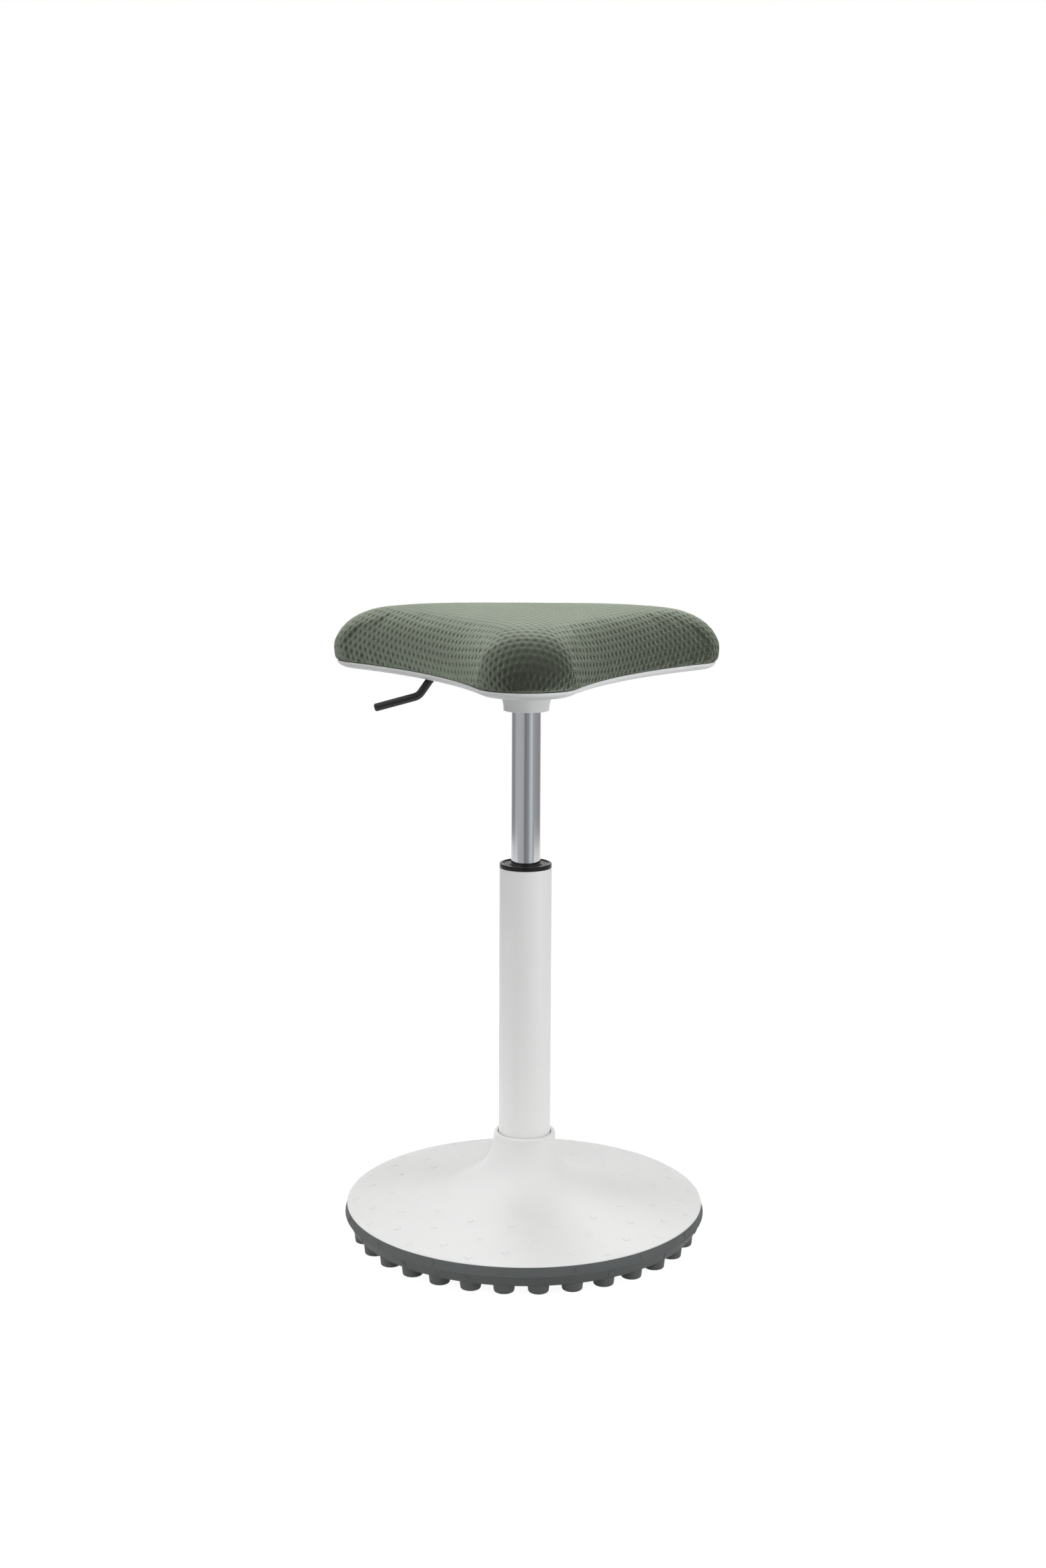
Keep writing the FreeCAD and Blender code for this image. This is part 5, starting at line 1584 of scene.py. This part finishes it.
    def gathers(self, places: np.ndarray, rise: np.ndarray) -> np.ndarray:
        """How far the cloth is drawn in at the small gathers beside each lobe, just above the hem.

        Args:
            places: The points' places in millimetres.
            rise: Their heights above the hem.

        Returns:
            A share from 0 to 1 for each point.
        """
        s = self.sizes
        angle = np.degrees(np.arctan2(places[:, 1], places[:, 0]))
        from_lobe = np.abs((angle + 150.0) % 120.0 - 60.0)
        beside = np.exp(-((from_lobe - s.gather_turn) / s.gather_spread) ** 2)
        low = np.exp(-(rise / s.gather_rise) ** 2) * np.clip(rise, 0.0, 1.0)
        along = np.radians(from_lobe) * np.hypot(places[:, 0], places[:, 1])
        fold = (0.5 + 0.5 * np.cos(along * math.tau / s.gather_pitch)) ** 2
        outside = (rise > 0.0) & (rise < 3.0 * s.gather_rise)
        return np.where(outside, beside * low * fold, 0.0)


def read_rows(source: bpy.types.bpy_prop_collection, attribute: str, width: int) -> np.ndarray:
    """Read an attribute of every item of a mesh, one row of numbers for each.

    Args:
        source: The items.
        attribute: Name of the attribute.
        width: Count of numbers in each row.

    Returns:
        The rows.
    """
    values = np.empty(len(source) * width)
    source.foreach_get(attribute, values)
    return values.reshape(-1, width)


class HiddenWorks:
    """CAD nodes that keep their own shape: the works inside and the screws."""

    SLOT_NODES = {
        Slot.CAST_IRON: ("base_weight",),
        Slot.ZINC_STEEL: ("cover_screws", "sole_screws", "rod_washer", "rod_clip", "piston_nut",
                          "socket_screws", "tee_nuts", "pivot_clips", "shell_screws"),
        Slot.BEARING_STEEL: ("bearing_floor_washer", "bearing_rollers", "bearing_top_washer", "valve_pin",
                             "pivot_pin"),
        Slot.NYLON_NATURAL: ("bearing_cage", "rod_guide"),
        Slot.SEAL_RUBBER: ("rubber_buffer", "piston_seal", "rod_seal", "valve_seals"),
        Slot.ROD_CHROME: ("piston_rod",),
        Slot.ALUMINIUM_PLAIN: ("piston", "inner_tube", "seal_washer"),
        Slot.VALVE_BRASS: ("valve_body",),
        Slot.SOCKET_STEEL: ("tube_socket", "rocker"),
        Slot.PAN_PLASTIC: ("seat_pan",),
    }

    def build(self, nodes: dict[str, Piece]) -> None:
        """Give each node its finish.

        Args:
            nodes: The frame's nodes.
        """
        for slot, names in self.SLOT_NODES.items():
            material = finish(slot)
            for name in names:
                piece = nodes[name]
                if not piece.material_slots:
                    piece.data.materials.append(material)
                for place in piece.material_slots:
                    place.material = material
            log.info("%s: on %s", slot.value, ", ".join(names))


@dataclass(frozen=True)
class Lamp:
    """One soft area lamp; a spread below 180 degrees stands for a grid before it."""

    name: str
    place: Place
    aim: Place
    size: Point
    power: float
    spread: float = 180.0


@dataclass
class Studio:
    """Floor, world, lamps and camera."""

    floor_reach: float = 30.0
    camera_place: Place = (-0.000375, -1.85356, 0.738)
    camera_pitch: float = 9.186
    camera_roll: float = 0.266
    lens: float = 45.53
    sensor: float = 36.0
    shift_x: float = -0.0017
    clip_end: float = 100.0
    world_front: float = 0.78
    world_back: float = 0.2
    world_turn: Point = (-0.9, 0.5)
    floor_front: float = 1.98
    floor_split: float = 0.75
    floor_colour: Colour = (0.4, 0.4, 0.4)
    floor_glow: float = 1.56
    shadow_share: float = 0.4
    screen_radius: float = 2.05
    screen_height: float = 1.9
    screen_foot: float = -0.7
    screen: tuple[tuple[float, Colour], ...] = (
        (-140.0, (0.3, 0.3, 0.3)),
        (-95.0, (0.44, 0.44, 0.45)),
        (-45.0, (0.62, 0.62, 0.63)),
        (-17.0, (0.56, 0.56, 0.57)),
        (-11.0, (0.26, 0.26, 0.27)),
        (15.0, (0.36, 0.37, 0.38)),
        (33.0, (0.66, 0.7, 0.74)),
        (43.0, (0.86, 0.93, 1.0)),
        (56.0, (0.52, 0.55, 0.58)),
        (78.0, (0.46, 0.46, 0.47)),
        (140.0, (0.36, 0.36, 0.37)),
    )
    lamps: tuple[Lamp, ...] = (
        Lamp("top_left_lamp", (-1.6, 0.2, 2.3), (0.0, 0.0, 0.2), (1.2, 1.2), 16.5),
        Lamp("right_lamp", (2.1, -0.8, 0.9), (0.0, 0.0, 0.3), (0.9, 1.8), 20.0),
        Lamp("back_lamp", (0.0, 2.0, 1.7), (0.0, 0.0, 0.5), (1.6, 1.0), 10.0),
        Lamp("left_lamp", (-2.2, -0.8, 0.3), (0.0, 0.0, 0.0), (1.0, 0.4), 0.32, 20.0),
        Lamp("near_top_lamp", (0.0, 0.1, 1.35), (0.0, 0.0, 0.6), (0.8, 0.8), 1.6),
        Lamp("seat_lamp", (-0.2, 0.95, 1.18), (-0.02, 0.0, 0.62), (0.6, 0.3), 1.3, 38.0),
    )

    def build(self) -> None:
        """Set up everything that isn't the stool."""
        bpy.context.scene.view_settings.view_transform = "Standard"
        self.build_floor()
        self.build_screen()
        self.build_world()
        for lamp in self.lamps:
            self.build_lamp(lamp)
        self.build_camera()

    def empty_tree(self, owner: bpy.types.ID) -> NodeMaker:
        """Give a new material or world an empty node tree.

        Args:
            owner: The material or world.

        Returns:
            A maker on the tree.
        """
        owner.use_nodes = True
        owner.node_tree.nodes.clear()
        return NodeMaker(owner.node_tree)

    def build_floor(self) -> None:
        """White floor with the stool's faint shadow; its front strip isn't seen in the metal."""
        material = bpy.data.materials.new("floor_white")
        tree = self.empty_tree(material)
        paint = tree.node("BsdfDiffuse", {"Color": self.floor_colour})
        glow = tree.node("Emission", {"Strength": self.floor_glow})
        share = tree.math("MULTIPLY", tree.background_rays(), 1.0 - self.shadow_share)
        mix = tree.node("MixShader", {0: share, 1: paint.outputs[0], 2: glow.outputs[0]})
        tree.node("OutputMaterial", {0: mix.outputs[0]})
        self.build_ground("floor", -self.floor_split, self.floor_reach, material)
        near = self.build_ground("floor_near", -self.floor_front, -self.floor_split, material)
        near.visible_glossy = False

    def build_ground(self, name: str, front: float, back: float, material: Material) -> Piece:
        """Lay one strip of the floor from side to side.

        Args:
            name: Its name.
            front: Its front edge, in metres along y.
            back: Its back edge.
            material: Its material.

        Returns:
            The strip.
        """
        maker = MeshMaker()
        reach = self.floor_reach
        maker.vertices = [Vector((x / MM, y / MM, 0.0)) for x, y in
                          ((-reach, front), (reach, front), (reach, back), (-reach, back))]
        maker.faces = [(0, 1, 2, 3)]
        strip = maker.piece(name)
        strip.data.materials.append(material)
        return strip

    def build_screen(self) -> None:
        """Curved screen of grey flags and softboxes round the camera's side, seen in the metal alone."""
        maker = MeshMaker()
        angles = [math.radians(2.0 * step - 90.0) for step in range(-70, 71)]
        size = len(angles)
        maker.vertices = [spot(self.screen_radius / MM, angle, height / MM)
                          for height in (self.screen_foot, self.screen_height) for angle in angles]
        maker.faces = [(number, number + 1, size + number + 1, size + number) for number in range(size - 1)]
        screen = maker.piece("reflection_screen")
        material = bpy.data.materials.new("screen_greys")
        tree = self.empty_tree(material)
        place = tree.node("TexCoord").outputs["Object"]
        bearing = tree.node("TexGradient", {0: place}, gradient_type="RADIAL").outputs["Fac"]
        ramp = tree.node("ValToRGB", {0: bearing})
        stops = sorted(((0.25 + degrees / 360.0) % 1.0, colour) for degrees, colour in self.screen)
        elements = ramp.color_ramp.elements
        while len(elements) < len(stops):
            elements.new(0.5)
        for element, (position, colour) in zip(elements, stops):
            element.position = position
            element.color = (*colour, 1.0)
        glow = tree.node("Emission", {"Color": ramp.outputs[0]})
        tree.node("OutputMaterial", {0: glow.outputs[0]})
        screen.data.materials.append(material)
        screen.visible_camera = screen.visible_diffuse = screen.visible_shadow = False

    def build_world(self) -> None:
        """World: white to the camera and in reflections, and a soft light that is stronger in front."""
        world = bpy.data.worlds.new("studio")
        bpy.context.scene.world = world
        tree = self.empty_tree(world)
        place = tree.node("SeparateXYZ", {0: tree.node("TexCoord").outputs["Generated"]}).outputs
        level = tree.map_range(place[1], self.world_turn, (self.world_front, self.world_back), "SMOOTHSTEP")
        white = (1.0, 1.0, 1.0)
        seen = tree.node("Background", {"Color": white}).outputs[0]
        light = tree.node("Background", {"Color": white, "Strength": level}).outputs[0]
        mix = tree.node("MixShader", {0: tree.background_rays(), 1: light, 2: seen})
        tree.node("OutputWorld", {0: mix.outputs[0]})

    def build_lamp(self, lamp: Lamp) -> None:
        """Add one lamp.

        Args:
            lamp: Its place, aim, size, power and spread.
        """
        data = bpy.data.lights.new(lamp.name, "AREA")
        data.shape = "RECTANGLE"
        data.size, data.size_y = lamp.size
        data.energy = lamp.power
        data.spread = math.radians(lamp.spread)
        light = bpy.data.objects.new(lamp.name, data)
        light.location = lamp.place
        light.visible_glossy = light.visible_camera = False
        way = Vector(lamp.aim) - Vector(lamp.place)
        light.rotation_euler = way.to_track_quat("-Z", "Y").to_euler()
        bpy.context.scene.collection.objects.link(light)

    def build_camera(self) -> None:
        """Camera at the photograph's place, pitch, roll and lens."""
        data = bpy.data.cameras.new("camera")
        data.lens = self.lens
        data.sensor_width = self.sensor
        data.sensor_fit = "AUTO"
        data.shift_x = self.shift_x
        data.clip_end = self.clip_end
        camera = bpy.data.objects.new("camera", data)
        pitch = Matrix.Rotation(math.radians(90.0 - self.camera_pitch), 4, "X")
        roll = Matrix.Rotation(math.radians(self.camera_roll), 4, "Z")
        camera.matrix_world = Matrix.Translation(self.camera_place) @ pitch @ roll
        bpy.context.scene.collection.objects.link(camera)
        bpy.context.scene.camera = camera


def main() -> None:
    """Load the frame, build every sub-assembly and set up the studio."""
    logging.basicConfig(level=logging.INFO, format="%(name)s: %(message)s")
    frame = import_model()
    outline = SeatOutline()
    for part in (BaseFoot(), Column(), SeatShell(outline), Lever(), Cushion(outline)):
        part.build()
    HiddenWorks().build(frame["nodes"])
    Studio().build()


if __name__ == "__main__":
    main()
